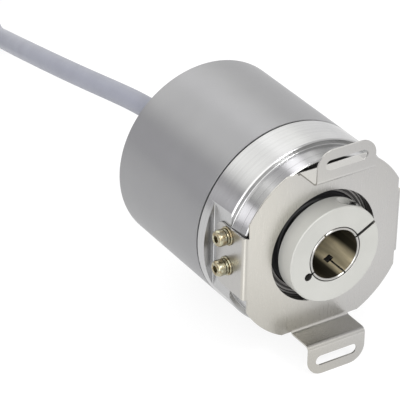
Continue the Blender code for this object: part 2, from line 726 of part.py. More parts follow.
def gland(finish, rubber):
    where = about(GLAND_X, 0, GLAND_Z)
    seat = HOUSING_BACK + CLEAR
    washer = tube(GLAND_HOLE_R + 0.1, GLAND_R - 0.1, seat, seat + GLAND_WASHER, 24)
    washer.transform(where)
    node("gland_washer", washer, rubber)
    shoulder = seat + GLAND_WASHER + CLEAR
    inside = HOUSING_BACK - HOUSING_FLOOR
    body = [
        (0, inside - 3.4),
        (GLAND_THREAD_R, inside - 3.4),
        (GLAND_THREAD_R, shoulder),
        (GLAND_R, shoulder),
        (GLAND_R, GLAND_BACK - 2.4),
        (GLAND_R - 0.9, GLAND_BACK - 1.8),
        (GLAND_R - 1.2, GLAND_BACK - 0.4),
        (GLAND_R - 1.6, GLAND_BACK),
        (CABLE_R + 0.3, GLAND_BACK),
        (CABLE_R + 0.3, GLAND_POCKET),
        (0, GLAND_POCKET),
    ]
    node("cable_gland", turned(body, 24, where), finish)
    nut = extruded(regular(6, GLAND_NUT), inside - 2.8, inside - 0.2, where)
    made = node("gland_nut", nut, finish, smooth=False)
    bore = disc(GLAND_THREAD_R + 0.2, inside - 4, inside + 1, 24, where)
    boolean(made, "DIFFERENCE", bore, "gland_nut_bore")


def smooth_path(points, spacing):
    """Points at an even spacing along the smooth curve through the given points (natural cubic)."""
    p = np.array(points, float)
    t = np.concatenate([[0], np.cumsum(np.linalg.norm(np.diff(p, axis=0), axis=1))])
    h = np.diff(t)
    n = len(p)
    equations = np.zeros((n, n))
    right = np.zeros((n, 3))
    equations[0, 0] = 1
    equations[-1, -1] = 1
    for i in range(1, n - 1):
        equations[i, i - 1 : i + 2] = h[i - 1], 2 * (h[i - 1] + h[i]), h[i]
        right[i] = 6 * ((p[i + 1] - p[i]) / h[i] - (p[i] - p[i - 1]) / h[i - 1])
    m = np.linalg.solve(equations, right)
    fine = []
    for i in range(n - 1):
        for u in np.linspace(0, h[i], 40, endpoint=False):
            v = h[i] - u
            bent = (m[i] * v**3 + m[i + 1] * u**3) / (6 * h[i])
            straight = (p[i] / h[i] - m[i] * h[i] / 6) * v + (p[i + 1] / h[i] - m[i + 1] * h[i] / 6) * u
            fine.append(bent + straight)
    fine = np.array(fine + [p[-1]])
    run = np.concatenate([[0], np.cumsum(np.linalg.norm(np.diff(fine, axis=0), axis=1))])
    wanted = np.linspace(0, run[-1], max(2, round(run[-1] / spacing)) + 1)
    return np.stack([np.interp(wanted, run, fine[:, k]) for k in range(3)], 1)


def cord_tube(name, points, radius, finish, sides):
    curve = bpy.data.curves.new(name, "CURVE")
    curve.dimensions = "3D"
    curve.bevel_depth = radius * MM
    curve.bevel_resolution = sides
    curve.use_fill_caps = True
    spline = curve.splines.new("POLY")
    spline.points.add(len(points) - 1)
    for point, at in zip(spline.points, points):
        point.co = (*(Vector(at) * MM), 1.0)
    spline.use_smooth = True
    curve.materials.append(finish)
    return placed(name, curve, None)


def cable(jacket, tie_finish):
    cord_tube("cable", smooth_path(CABLE_ROUTE, 15.0), CABLE_R, jacket, 3)
    coil = node("cable_coil", coil_ring(), jacket)
    across = about(COIL_X, COIL_Y, 0) @ Matrix.Rotation(TIE_TURN, 4, "Z")
    half = TIE_WIDTH / 2
    low = (COIL_INNER_R - 2, -half - 0.3, FLOOR_Z - 1)
    high = (COIL_OUTER_R + 2, half + 0.3, FLOOR_Z + TIE_THICK + 0.3)
    notch = block(low, high, across)
    boolean(coil, "DIFFERENCE", notch, "tie_notch")
    near, far = COIL_INNER_R - 0.3, COIL_OUTER_R + 0.3
    under, over = FLOOR_Z + TIE_THICK, FLOOR_Z + COIL_HEIGHT + 0.3
    low = (near - TIE_THICK, -half, FLOOR_Z)
    high = (far + TIE_THICK, half, over + TIE_THICK)
    tie = node("cable_tie", block(low, high, across), tie_finish, smooth=False)
    window = block((near, -half - 1, under), (far, half + 1, over), across)
    boolean(tie, "DIFFERENCE", window, "tie_window")
    head = block((32.0, -half - 0.8, over + 0.5), (38.5, half + 0.8, over + 3.6), across)
    boolean(tie, "UNION", head, "tie_head")
    tail = [
        (PLUG_X, TAIL_FRONT, TAIL_TOP_Z - 0.3),
        (PLUG_X, TAIL_FRONT - 6, TAIL_TOP_Z - 1.5),
        (PLUG_X, PLUG_Y + 1, PLUG_Z),
        (PLUG_X, PLUG_Y - 2, PLUG_Z),
    ]
    cord_tube("cable_tail", smooth_path(tail, 4.0), CABLE_R, jacket, 3)


def coil_ring():
    low, high = FLOOR_Z, FLOOR_Z + COIL_HEIGHT
    cut = 1.6
    profile = [
        (COIL_INNER_R, low + cut),
        (COIL_INNER_R + cut, low),
        (COIL_OUTER_R - cut, low),
        (COIL_OUTER_R, low + cut),
        (COIL_OUTER_R, high - cut),
        (COIL_OUTER_R - cut, high),
        (COIL_INNER_R + cut, high),
        (COIL_INNER_R, high - cut),
    ]
    stand = Matrix(((1, 0, 0, 0), (0, 0, -1, 0), (0, 1, 0, 0), (0, 0, 0, 1)))
    return turned(profile, 36, about(COIL_X, COIL_Y, 0) @ stand)


def lead_bundle(finish):
    """The cable's leads between the gland and the socket on the board."""
    route = [
        (GLAND_X, 64.3, GLAND_Z),
        (GLAND_X, 62.8, GLAND_Z - 0.6),
        (GLAND_X, 61.2, GLAND_Z - 3.2),
        (GLAND_X, 59.7, GLAND_Z - 5.9),
        (GLAND_X, 57.9, GLAND_Z - 6.4),
    ]
    cord_tube("lead_bundle", smooth_path(route, 1.2), 1.2, finish, 2)


def plug(moulded, metal, nut_axis):
    """The far end: s runs from the cable's side to the pins, along -Y."""
    stand = about(PLUG_X, PLUG_Y, PLUG_Z) @ Matrix.Rotation(math.pi, 4, "Z")
    body = [
        (0, 3.0),
        (CABLE_R + 0.35, 3.0),
        (CABLE_R + 0.35, 0),
        (4.4, 0),
        (5.0, 6.0),
        (6.9, 8.0),
        (6.9, 23.0),
        (6.4, 24.0),
        (5.1, 24.0),
        (5.1, 35.5),
        (4.5, 35.5),
        (4.5, 27.0),
        (0, 27.0),
    ]
    node("plug_body", turned(body, 20, stand), moulded)
    insert = node("plug_insert", disc(4.2, 27.3, 30.5, 20), moulded)
    insert.matrix_world = stand
    pins = []
    for i in range(8):
        a = math.radians(360 * i / 7)
        x, z = (2.75 * math.cos(a), 2.75 * math.sin(a)) if i < 7 else (0.0, 0.0)
        pin = [(0, 30.0), (0.4, 30.0), (0.4, 34.6), (0.2, 34.9), (0, 34.9)]
        pins.append(turned(pin, 6, about(x, 0, z)))
    needles = together(*pins)
    needles.transform(stand)
    boolean(insert, "UNION", needles, "plug_pins")
    ring = [(5.5, 24.4), (6.6, 24.4), (7.3, 25.2), (7.3, 36.0), (6.9, 37.0)]
    ring += [(5.9, 37.0), (5.9, 27.0), (5.5, 27.0)]
    nut = node("plug_nut", turned(ring, 24), metal, nut_axis)
    nut.matrix_parent_inverse = nut_axis.matrix_world.inverted()
    nut.matrix_world = stand


def main():
    clear_scene()
    anodised = material("anodised_housing", (0.47, 0.47, 0.46), 0.9, 0.42)
    bright = material("turned_aluminium", (0.78, 0.78, 0.77), 1.0, 0.22)
    stainless = material("stainless_sheet", (0.72, 0.70, 0.66), 1.0, 0.33)
    blasted = material("blasted_ring", (0.66, 0.66, 0.62), 0.6, 0.5)
    shaft_steel = material("shaft_steel", (0.62, 0.58, 0.5), 1.0, 0.25)
    zinc = material("yellow_zinc", (0.66, 0.58, 0.38), 1.0, 0.28)
    steel = material("bearing_steel", (0.6, 0.61, 0.62), 1.0, 0.2)
    brass = material("brass", (0.72, 0.56, 0.27), 1.0, 0.3)
    rubber = material("black_rubber", (0.02, 0.02, 0.022), 0.0, 0.6)
    board = material("circuit_board", (0.02, 0.16, 0.06), 0.0, 0.45)
    chip = material("chip_black", (0.03, 0.03, 0.03), 0.0, 0.5)
    white = material("white_plastic", (0.8, 0.8, 0.76), 0.0, 0.4)
    glass = material("glass", (0.8, 0.86, 0.88), 0.0, 0.05)
    jacket = material("cable_jacket", (0.37, 0.38, 0.44), 0.0, 0.5)
    black = material("black_plastic", (0.025, 0.025, 0.028), 0.0, 0.45)
    nickel = material("nickel_plate", (0.66, 0.64, 0.6), 1.0, 0.2)

    rotor = empty("rotor_axis")
    front_cage = empty("front_cage_axis")
    rear_cage = empty("rear_cage_axis")
    nut_axis = empty("plug_nut_axis", PLUG_X, PLUG_Y, PLUG_Z)
    bpy.context.view_layer.update()

    housing(anodised)
    flange(bright)
    housing_seal(rubber)
    stator_coupling(stainless)
    coupling_fasteners(zinc)
    bearing_parts(steel, brass, rubber, rotor, front_cage, rear_cage)
    hollow_shaft(shaft_steel, rotor)
    clamp_ring(blasted, rotor)
    clamp_screw(steel, rotor)
    code_wheel(bright, glass, rotor)
    electronics(board, chip, white, glass)
    posts(brass, steel)
    gland(nickel, rubber)
    lead_bundle(white)
    cable(jacket, black)
    plug(black, nickel, nut_axis)
    bpy.context.view_layer.update()


main()
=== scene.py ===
"""The looks of the hollow-shaft rotary encoder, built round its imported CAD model.

Lengths are in millimetres unless a name says otherwise. The shaft's axis is the Y axis, the shaft
side looks along -Y, and +Z is up. Every piece's mesh is made where the CAD model has that part.
"""

import json
import math

import bmesh
import bpy
import numpy as np
from mathutils import Matrix, Vector


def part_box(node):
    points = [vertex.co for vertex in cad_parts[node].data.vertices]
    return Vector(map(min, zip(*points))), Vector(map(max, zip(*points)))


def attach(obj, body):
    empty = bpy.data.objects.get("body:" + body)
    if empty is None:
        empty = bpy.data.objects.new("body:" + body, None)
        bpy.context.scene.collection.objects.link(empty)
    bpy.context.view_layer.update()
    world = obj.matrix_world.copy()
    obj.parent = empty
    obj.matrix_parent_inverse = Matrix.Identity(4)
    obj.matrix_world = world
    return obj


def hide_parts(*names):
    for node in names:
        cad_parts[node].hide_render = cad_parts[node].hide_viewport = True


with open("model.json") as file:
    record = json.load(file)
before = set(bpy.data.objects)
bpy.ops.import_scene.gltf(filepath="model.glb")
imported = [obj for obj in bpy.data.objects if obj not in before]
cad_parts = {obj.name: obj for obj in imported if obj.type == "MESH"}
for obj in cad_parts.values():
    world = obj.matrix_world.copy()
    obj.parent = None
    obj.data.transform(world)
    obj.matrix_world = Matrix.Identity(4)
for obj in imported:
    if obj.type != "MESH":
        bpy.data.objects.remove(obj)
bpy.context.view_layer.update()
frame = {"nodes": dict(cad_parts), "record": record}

MM = 0.001


def span(node):
    """A CAD node's lowest and highest corner, in millimetres."""
    low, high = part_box(node)
    return low / MM, high / MM


HOUSING_LOW, HOUSING_HIGH = span("housing")
FLANGE_LOW, FLANGE_HIGH = span("flange")
COUPLING_HIGH = span("stator_coupling")[1]
SHAFT_LOW, SHAFT_HIGH = span("hollow_shaft")
RING_LOW, RING_HIGH = span("clamp_ring")
SEAL_LOW, SEAL_HIGH = span("housing_seal")
LIP_LOW, LIP_HIGH = span("shaft_seal")
GLAND_LOW, GLAND_HIGH = span("cable_gland")
COIL_LOW, COIL_HIGH = span("cable_coil")

# --- Driving dimensions ---

BODY_R = HOUSING_HIGH.x
HOUSING_FRONT = HOUSING_LOW.y
HOUSING_BACK = HOUSING_HIGH.y
HOUSING_WALL = 1.9
HOUSING_FLOOR = 2.5
CLEAR = 0.1  # gap between faces that really touch
SOCKET = 2.0  # every screw's hexagon, across its flats
EDGE_R = 0.9  # rounding of the housing's rear edge
SHOULDER = HOUSING_FRONT - 0.5
RIM_FRONT = 16.3
RIM_CHAMFER = 0.35
COLLAR_FRONT = FLANGE_LOW.y
COLLAR_R = 27.4
NOSE_R = 26.7
NOSE_CHAMFER = 0.35
BAND_SPLIT = 13.0  # the groove between the collar's two bands
TAPER = 0.13  # how much the radius of both bands grows for each millimetre towards the back
FLAT_X = 25.7
FLAT_BACK = 24.7
MILL_R = 0.35
RECESS_R = 18.0
RECESS_BACK = 12.6
SPIGOT_R = 26.7
SPIGOT_BACK = 33.0
SLEEVE_R = 19.5
SLEEVE_BACK = FLANGE_HIGH.y
BEARING_BORE_R = 16.0
BEARING_FRONT = span("front_bearing_outer_ring")[0].y
SEAL_SEAT_R = 15.0
SEAL_SEAT_BACK = 16.2
LIP_R = 14.2  # the lip between the shaft seal and the bearing

SHEET = 0.5
PLATE_FRONT = 8.7
PLATE_R = 28.6
PLATE_HALF_X = 24.9
PLATE_HALF_Z = 25.5
PLATE_HOLE_R = 17.3
EAR_X = COUPLING_HIGH.x
EAR_BEND_R = 1.4
EAR_BACK = COUPLING_HIGH.y
EAR_HALF_Z = 9.8
EAR_CORNER_R = 3.0
EAR_HOLE_R = 1.5
EAR_HEAD_R = 2.35
EAR_HEAD_HEIGHT = 2.4
EAR_SCREW_R = 1.2
EAR_SCREW_DEPTH = 6.4
FLAT_WASHER_R = 2.75
FLAT_WASHER_STEP = 0.6  # its thickness and the gap above it
SPRING_WASHER_R = 2.4
SPRING_WASHER_STEP = 0.85  # the same for the spring washer
EAR_SCREW_Y = 17.1
EAR_SCREW_Z = (7.0, -2.6)  # on the -X ear; the +X ear is turned half way round the axis
FOOT_HALF_X = 9.6
FOOT_TIP_Z = COUPLING_HIGH.z
FOOT_CORNER_R = 5.0
FOOT_BEND_R = 1.25
FOOT_LEG_Z = 26.1
SLOT_Z = 31.5
SLOT_LENGTH = 13.9
SLOT_WIDTH = 3.2

BORE_R = 7.5
BORE_BACK = 42.0
BORE_HIGHLIGHT_SIDE = (0.682, 0.0, -0.731)  # towards the side of the bore that is painted bright as a highlight
SHAFT_FRONT = SHAFT_LOW.y
SHAFT_BACK = SHAFT_HIGH.y
COLLET_R = 8.2
COLLET_BACK = 12.3
SHAFT_R = SHAFT_HIGH.x
TAIL_R = 9.0
SHAFT_GROOVE = (36.4, 37.5)  # front and back of the circlip's groove
SHAFT_GROOVE_R = 8.55
SLIT_TURN = math.radians(27.5)
COLLET_SLOT = 0.5
COLLET_WINDOW = (2.2, 9.7, 11.9)  # width, front and back of the square end of a collet slot
RING_R = 14.8
RING_BORE_R = 8.42
RING_BACK = RING_HIGH.y
RING_SLIT = 1.0
RELIEF_R = 1.2
RELIEF_AT = 9.85
CLAMP_SCREW_AT = 11.3
CLAMP_SEAT = 4.5
CLAMP_HEAD_R = 2.15
CLAMP_HEAD_HEIGHT = 2.5
CLAMP_SCREW_R = 1.25
CLAMP_HOLE_R = 1.6

POST_AT = 23.3
POST_TURNS = (90, 210, 330)
REAR_SCREW_R = 1.35
REAR_SCREW_HEAD_R = 2.85
REAR_HOLE_R = 1.8
REAR_SCREW_SINK = 1.75

CABLE_R = 3.25
CABLE_LENGTH = 1000.0
CABLE_SPACING = 2.5
GLAND_HOLE_R = 5.2
GLAND_THREAD_R = 4.9
GLAND_R = 6.5
GLAND_X = (GLAND_LOW.x + GLAND_HIGH.x) / 2
GLAND_Z = (GLAND_LOW.z + GLAND_HIGH.z) / 2
FLOOR_Z = COIL_LOW.z
COIL_X = (COIL_LOW.x + COIL_HIGH.x) / 2
COIL_Y = (COIL_LOW.y + COIL_HIGH.y) / 2
COIL_TURN_IN = -20.0  # degrees round the coil at which the cable comes in
COIL_TURN_OUT = 1260.0  # and at which it goes out, about three and a half turns further on
COIL_STEP = 10.0
COIL_INWARDS = (290, 355)  # degrees from there, over which the cable moves to the inner radius
COIL_CLIMB = (615, 690)  # over which it climbs on top of the lower turns
COIL_OUTWARDS = (905, 980)  # and over which it moves back to the outer radius
COIL_OUTER = 38.3
COIL_INNER = 31.8
PLUG_X = -54.3
PLUG_Y = 221.0
PLUG_Z = -28.65
PLUG_GRIPS = 12
PIN_RING = 7  # contacts on a ring, with one more in the middle
PIN_RING_R = 2.75
NUT_RIDGES = 48
NUT_RIDGE = 0.14  # half the depth of a ridge

# The cable's route, in order from the gland to the coil.
CABLE_ROUTE = [
    (-10.0, 74.0, 10.2), (-10.1, 80.0, 10.1), (-10.5, 87.3, 9.7), (-11.6, 101.3, 8.0),
    (-12.8, 114.0, 6.2), (-13.3, 133.3, 2.7), (-12.0, 148.3, -1.1), (-8.0, 168.3, -7.8),
    (-1.4, 189.0, -16.5), (6.9, 209.3, -26.4), (9.9, 217.6, -30.0), (12.3, 224.3, -32.0),
]
# And from the coil into the plug.
TAIL_ROUTE = [
    (PLUG_X, 247.0, -26.3), (PLUG_X, 235.0, -26.6), (PLUG_X, 228.0, -27.8), (PLUG_X, 222.5, PLUG_Z),
    (PLUG_X, 219.0, PLUG_Z),
]

# --- Camera ---

CAMERA_AIM = (-18.86, 42.65, 2.82)
CAMERA_TURN = math.radians(-33.153)
CAMERA_RISE = math.radians(31.031)
CAMERA_ROLL = math.radians(1.221)
CAMERA_DISTANCE = 690.06
CAMERA_LENS = 220.33


def camera():
    flat = math.cos(CAMERA_RISE)
    away = Vector((math.sin(CAMERA_TURN) * flat, -math.cos(CAMERA_TURN) * flat, math.sin(CAMERA_RISE)))
    level = Vector((0, 0, 1)).cross(away).normalized()
    upright = away.cross(level)
    right = math.cos(CAMERA_ROLL) * level + math.sin(CAMERA_ROLL) * upright
    up = away.cross(right)
    data = bpy.data.cameras.new("camera")
    data.lens = CAMERA_LENS
    data.sensor_width = 36.0
    data.clip_start = 0.01
    data.clip_end = 20.0
    made = linked("camera", data)
    turn = Matrix((right, up, away)).transposed().to_4x4()
    made.matrix_world = Matrix.Translation((Vector(CAMERA_AIM) + CAMERA_DISTANCE * away) * MM) @ turn
    bpy.context.scene.camera = made


# --- Meshes ---


def about(x, y, z):
    return Matrix.Translation(Vector((x, y, z)) * MM)


def turn_y(angle):
    """Turns from +X towards +Z."""
    return Matrix.Rotation(-angle, 4, "Y")


def axes(x, y, z):
    """A turn that sends a piece's own X, Y and Z axes to those three directions."""
    return Matrix((x, y, z)).transposed().to_4x4()


def finished(bm, place):
    """Joins doubled points, moves the mesh to its place and turns its faces outwards."""
    bmesh.ops.remove_doubles(bm, verts=bm.verts, dist=1e-7)
    bm.transform(place)
    bmesh.ops.recalc_face_normals(bm, faces=bm.faces)
    if bm.calc_volume(signed=True) < 0:
        bmesh.ops.reverse_faces(bm, faces=bm.faces)
    return bm


def turned(profile, steps=192, place=Matrix()):
    """The solid that a profile of (radius, y) points makes round the Y axis."""
    bm = bmesh.new()
    verts = [bm.verts.new((r * MM, y * MM, 0)) for r, y in profile]
    edges = [bm.edges.new(pair) for pair in zip(verts, verts[1:])]
    if profile[0][0] > 0 or profile[-1][0] > 0:
        edges.append(bm.edges.new((verts[-1], verts[0])))
    around = {"cent": (0, 0, 0), "axis": (0, 1, 0), "angle": 2 * math.pi, "use_merge": True}
    bmesh.ops.spin(bm, geom=verts + edges, steps=steps, **around)
    return finished(bm, place)


def disc(radius, front, back, steps=64, place=Matrix()):
    return turned([(0, front), (radius, front), (radius, back), (0, back)], steps, place)


def extruded(outline, low, high, place=Matrix()):
    """A prism along Y whose outline is given as (x, z) points."""
    bm = bmesh.new()
    face = bm.faces.new([bm.verts.new((x * MM, low * MM, z * MM)) for x, z in outline])
    grown = bmesh.ops.extrude_face_region(bm, geom=[face])["geom"]
    moved = [g for g in grown if isinstance(g, bmesh.types.BMVert)]
    bmesh.ops.translate(bm, verts=moved, vec=(0, (high - low) * MM, 0))
    return finished(bm, place)


def block(low, high, place=Matrix()):
    outline = [(low[0], low[2]), (high[0], low[2]), (high[0], high[2]), (low[0], high[2])]
    return extruded(outline, low[1], high[1], place)


def arc(x, z, radius, start, end, steps):
    angles = [math.radians(start + (end - start) * i / steps) for i in range(steps + 1)]
    return [(x + radius * math.cos(a), z + radius * math.sin(a)) for a in angles]


def hexagon(across):
    return arc(0, 0, across / 2 / math.cos(math.pi / 6), 0, 300, 5)


def rounded_box(half_x, half_z, radius):
    corners = ((1, 1, 0), (-1, 1, 90), (-1, -1, 180), (1, -1, 270))
    outline = []
    for sx, sz, start in corners:
        outline += arc(sx * (half_x - radius), sz * (half_z - radius), radius, start, start + 90, 6)
    return outline


def together(*pieces):
    whole = bmesh.new()
    for piece in pieces:
        carrier = bpy.data.meshes.new("carrier")
        piece.to_mesh(carrier)
        piece.free()
        whole.from_mesh(carrier)
        bpy.data.meshes.remove(carrier)
    return whole


def off_axis(point):
    """How far a mesh's point is from the Y axis, in millimetres."""
    return math.hypot(point.x, point.z) / MM


def paint(made, looks, one, other, is_other):
    """Gives the faces that is_other picks the other material."""
    made.data.materials.append(looks[one])
    made.data.materials.append(looks[other])
    for face in made.data.polygons:
        face.material_index = 1 if is_other(face) else 0


def linked(name, data):
    made = bpy.data.objects.new(name, data)
    bpy.context.scene.collection.objects.link(made)
    return made


def obj_of(name, bm):
    mesh = bpy.data.meshes.new(name)
    bm.to_mesh(mesh)
    bm.free()
    return linked(name, mesh)


def settle(obj):
    """Replaces the object's mesh by what its modifiers make of it."""
    graph = bpy.context.evaluated_depsgraph_get()
    shaped = bpy.data.meshes.new_from_object(obj.evaluated_get(graph))
    old = obj.data
    obj.modifiers.clear()
    obj.data = shaped
    bpy.data.meshes.remove(old)
    shaped.name = obj.name


def combine(obj, operation, bm):
    """Cuts the shape in bm from the object, or joins it on."""
    helper = obj_of("helper", bm)
    modifier = obj.modifiers.new("combine", "BOOLEAN")
    modifier.operation = operation
    modifier.object = helper
    modifier.solver = "EXACT"
    settle(obj)
    bpy.data.objects.remove(helper)


def soften(obj, width, segments=2, angle=30):
    """Rounds the sharp edges by a small radius."""
    modifier = obj.modifiers.new("soften", "BEVEL")
    modifier.width = width * MM
    modifier.segments = segments
    modifier.limit_method = "ANGLE"
    modifier.angle_limit = math.radians(angle)
    modifier.use_clamp_overlap = True
    settle(obj)


def smooth(obj):
    """Smooth shading whose normals follow the large faces, so small roundings stay crisp."""
    obj.data.shade_smooth()
    obj.data.set_sharp_from_angle(angle=math.radians(32))
    modifier = obj.modifiers.new("weighted", "WEIGHTED_NORMAL")
    modifier.mode = "FACE_AREA"
    modifier.weight = 50
    modifier.keep_sharp = True
    settle(obj)


def piece(made, looks, slot, *nodes, body="stator", width=0.0):
    """Finishes a mesh piece: rounds its edges when given a width, shades it smooth, gives it a material if it
    has none, hides the CAD nodes it stands for and hangs it on its body.
    """
    if width:
        soften(made, width)
    smooth(made)
    if not made.data.materials:
        made.data.materials.append(looks[slot])
    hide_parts(*nodes)
    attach(made, body)
    return made


# --- Materials ---


def mapped(tree, source, start, end, low, high, kind):
    """A value that goes from low to high while source goes from start to end."""
    made = tree.nodes.new("ShaderNodeMapRange")
    made.interpolation_type = kind
    for socket, value in zip(("From Min", "From Max", "To Min", "To Max"), (start, end, low, high)):
        made.inputs[socket].default_value = value
    tree.links.new(source, made.inputs["Value"])
    return made.outputs["Result"]


def graded(tree, vector, direction, start, end, low, high):
    """A value that goes from low to high as vector moves along direction, from start to end."""
    along = tree.nodes.new("ShaderNodeVectorMath")
    along.operation = "DOT_PRODUCT"
    along.inputs[1].default_value = direction
    tree.links.new(vector, along.inputs[0])
    return mapped(tree, along.outputs["Value"], start, end, low, high, "SMOOTHSTEP")


def combined(tree, operation, one, other):
    made = tree.nodes.new("ShaderNodeMath")
    made.operation = operation
    tree.links.new(one, made.inputs[0])
    tree.links.new(other, made.inputs[1])
    return made.outputs[0]


class Finish:
    """A Principled material and the nodes that feed it. All patterns use the row frame, in metres."""

    def __init__(self, name, colour, metallic, roughness):
        self.material = bpy.data.materials.new(name)
        self.material.use_nodes = True
        self.tree = self.material.node_tree
        self.shader = self.tree.nodes["Principled BSDF"]
        self.colour = colour
        self.set("Base Color", (*colour, 1.0))
        self.set("Metallic", metallic)
        self.set("Roughness", roughness)
        self.place = self.add("ShaderNodeTexCoord").outputs["Object"]
        self.normal = None

    def add(self, kind, **settings):
        made = self.tree.nodes.new(kind)
        for key, value in settings.items():
            setattr(made, key, value)
        return made

    def join(self, source, target):
        self.tree.links.new(source, target)

    def set(self, socket, value):
        self.shader.inputs[socket].default_value = value

    def round_place(self):
        """(distance from the shaft's axis, y, 0): patterns on it run round the axis."""
        flat = self.add("ShaderNodeVectorMath", operation="MULTIPLY")
        flat.inputs[1].default_value = (1.0, 0.0, 1.0)
        self.join(self.place, flat.inputs[0])
        reach = self.add("ShaderNodeVectorMath", operation="LENGTH")
        self.join(flat.outputs["Vector"], reach.inputs[0])
        split = self.add("ShaderNodeSeparateXYZ")
        self.join(self.place, split.inputs[0])
        made = self.add("ShaderNodeCombineXYZ")
        self.join(reach.outputs["Value"], made.inputs[0])
        self.join(split.outputs["Y"], made.inputs[1])
        return made.outputs[0]

    def stretched(self, source, scale):
        made = self.add("ShaderNodeMapping")
        made.inputs["Scale"].default_value = scale
        self.join(source, made.inputs["Vector"])
        return made.outputs[0]

    def noise(self, source, scale, detail=2.0, roughness=0.5):
        made = self.add("ShaderNodeTexNoise")
        made.inputs["Scale"].default_value = scale
        made.inputs["Detail"].default_value = detail
        made.inputs["Roughness"].default_value = roughness
        self.join(source, made.inputs["Vector"])
        return made.outputs["Fac"]

    def ranged(self, source, low, high, start=0.3, end=0.7):
        return mapped(self.tree, source, start, end, low, high, "LINEAR")

    def vary_roughness(self, source, low, high):
        self.join(self.ranged(source, low, high), self.shader.inputs["Roughness"])

    def blend(self, factor, one, other):
        """Colours the surface from one to other."""
        made = self.add("ShaderNodeMix", data_type="RGBA")
        made.inputs["A"].default_value = (*one, 1.0)
        made.inputs["B"].default_value = (*other, 1.0)
        self.join(factor, made.inputs["Factor"])
        self.join(made.outputs["Result"], self.shader.inputs["Base Color"])

    def vary_colour(self, source, dark, light, start=0.3, end=0.7):
        """dark and light are factors of the material's own colour."""
        one = [dark * c for c in self.colour]
        other = [min(1.0, light * c) for c in self.colour]
        self.blend(self.ranged(source, 0.0, 1.0, start, end), one, other)

    def bump(self, source, height, strength):
        """height is in millimetres."""
        made = self.add("ShaderNodeBump")
        made.inputs["Distance"].default_value = height * MM
        made.inputs["Strength"].default_value = strength
        self.join(source, made.inputs["Height"])
        if self.normal:
            self.join(self.normal, made.inputs["Normal"])
        self.normal = made.outputs["Normal"]
        self.join(self.normal, self.shader.inputs["Normal"])

    def spun(self, amount):
        """Stretches the highlights across fine marks that run round the shaft's axis."""
        self.set("Anisotropic", amount)
        self.set("Anisotropic Rotation", 0.25)
        made = self.add("ShaderNodeTangent", direction_type="RADIAL", axis="Y")
        self.join(made.outputs[0], self.shader.inputs["Tangent"])


def anodised():
    made = Finish("anodised_shell", (0.302, 0.302, 0.308), 0.95, 0.40)
    rings = made.noise(made.stretched(made.round_place(), (0.3, 1.0, 1.0)), 5200.0, 1.0)
    speckle = made.noise(made.place, 9000.0, 1.0)
    cloud = made.noise(made.place, 55.0, 3.0)
    made.vary_colour(cloud, 0.965, 1.03)
    made.vary_roughness(speckle, 0.36, 0.45)
    made.bump(speckle, 0.004, 0.5)
    made.bump(rings, 0.003, 0.5)
    made.spun(0.25)
    return made.material


def turned_metal(name, colour, roughness, spin, depth):
    made = Finish(name, colour, 1.0, roughness)
    rings = made.noise(made.stretched(made.round_place(), (0.15, 1.0, 1.0)), 3800.0, 2.0, 0.6)
    cloud = made.noise(made.place, 110.0, 0.0)
    made.vary_roughness(cloud, roughness * 0.93, roughness * 1.09)
    made.vary_colour(rings, 0.93, 1.03)
    made.bump(rings, depth, 0.6)
    made.spun(spin)
    return made.material


def ridged_recess():
    """Coarse turning marks, with painted shade in the grooves and painted highlights on the ridges."""
    made = Finish("ridged_recess", (0.17, 0.165, 0.16), 1.0, 0.30)
    ridges = made.noise(made.round_place(), 1500.0, 3.0, 0.7)
    # Painted shade and highlight: the colour drops to a fifth in the grooves and nearly doubles on the
    # ridges.
    made.vary_colour(ridges, 0.2, 1.9, 0.42, 0.58)
    made.vary_roughness(ridges, 0.24, 0.36)
    made.bump(ridges, 0.25, 1.0)
    made.spun(0.7)
    return made.material


def honed_bore():
    """Oiled, with a random stain and marks that run round it; one side is painted bright as a highlight and
    the rest painted darker as shade.
    """
    made = Finish("honed_bore", (0.43, 0.375, 0.25), 0.95, 0.5)
    rings = made.noise(made.round_place(), 2600.0, 2.0, 0.6)
    stain = made.noise(made.stretched(made.place, (1.0, 0.12, 1.0)), 420.0)
    # Painted highlight on one side of the bore, and painted shade that darkens the colour round the rest.
    painted_highlight_and_shade = graded(made.tree, made.place, BORE_HIGHLIGHT_SIDE, 0.0061, 0.0073, 0.2, 1.2)
    made.vary_colour(combined(made.tree, "MULTIPLY", stain, painted_highlight_and_shade), 0.1, 1.7, 0.1, 0.75)
    made.vary_roughness(rings, 0.45, 0.56)
    made.bump(rings, 0.006, 0.6)
    made.spun(0.9)
    return made.material


def sheet_metal():
    """Rolled sheet, with painted light that makes it lighter and creamier towards -X, painted shade that
    makes the ears greyer, and a random cloudy tone.
    """
    made = Finish("rolled_stainless", (0.46, 0.45, 0.43), 1.0, 0.28)
    grain = made.noise(made.stretched(made.place, (1.0, 1.0, 0.035)), 6500.0, 2.0, 0.6)
    cloud = made.noise(made.place, 70.0, 3.0)
    # Painted light: lighter and creamier towards -X, greyer towards +X.
    across = graded(made.tree, made.place, (1.0, 0.0, 0.2), -0.022, 0.012, -0.1, 0.9)
    # Painted shade: the ears, behind the plate, are made greyer and darker.
    painted_ear_shade = graded(made.tree, made.place, (0.0, 1.0, 0.0), 0.0098, 0.0106, 0.0, 0.9)
    painted_light_and_tone = combined(made.tree, "ADD", across, made.ranged(cloud, 0.0, 0.2))
    painted_light_and_tone = combined(made.tree, "ADD", painted_light_and_tone, painted_ear_shade)
    made.blend(painted_light_and_tone, (0.485, 0.47, 0.43), (0.435, 0.428, 0.418))
    made.vary_roughness(grain, 0.26, 0.34)
    made.bump(grain, 0.003, 0.5)
    return made.material


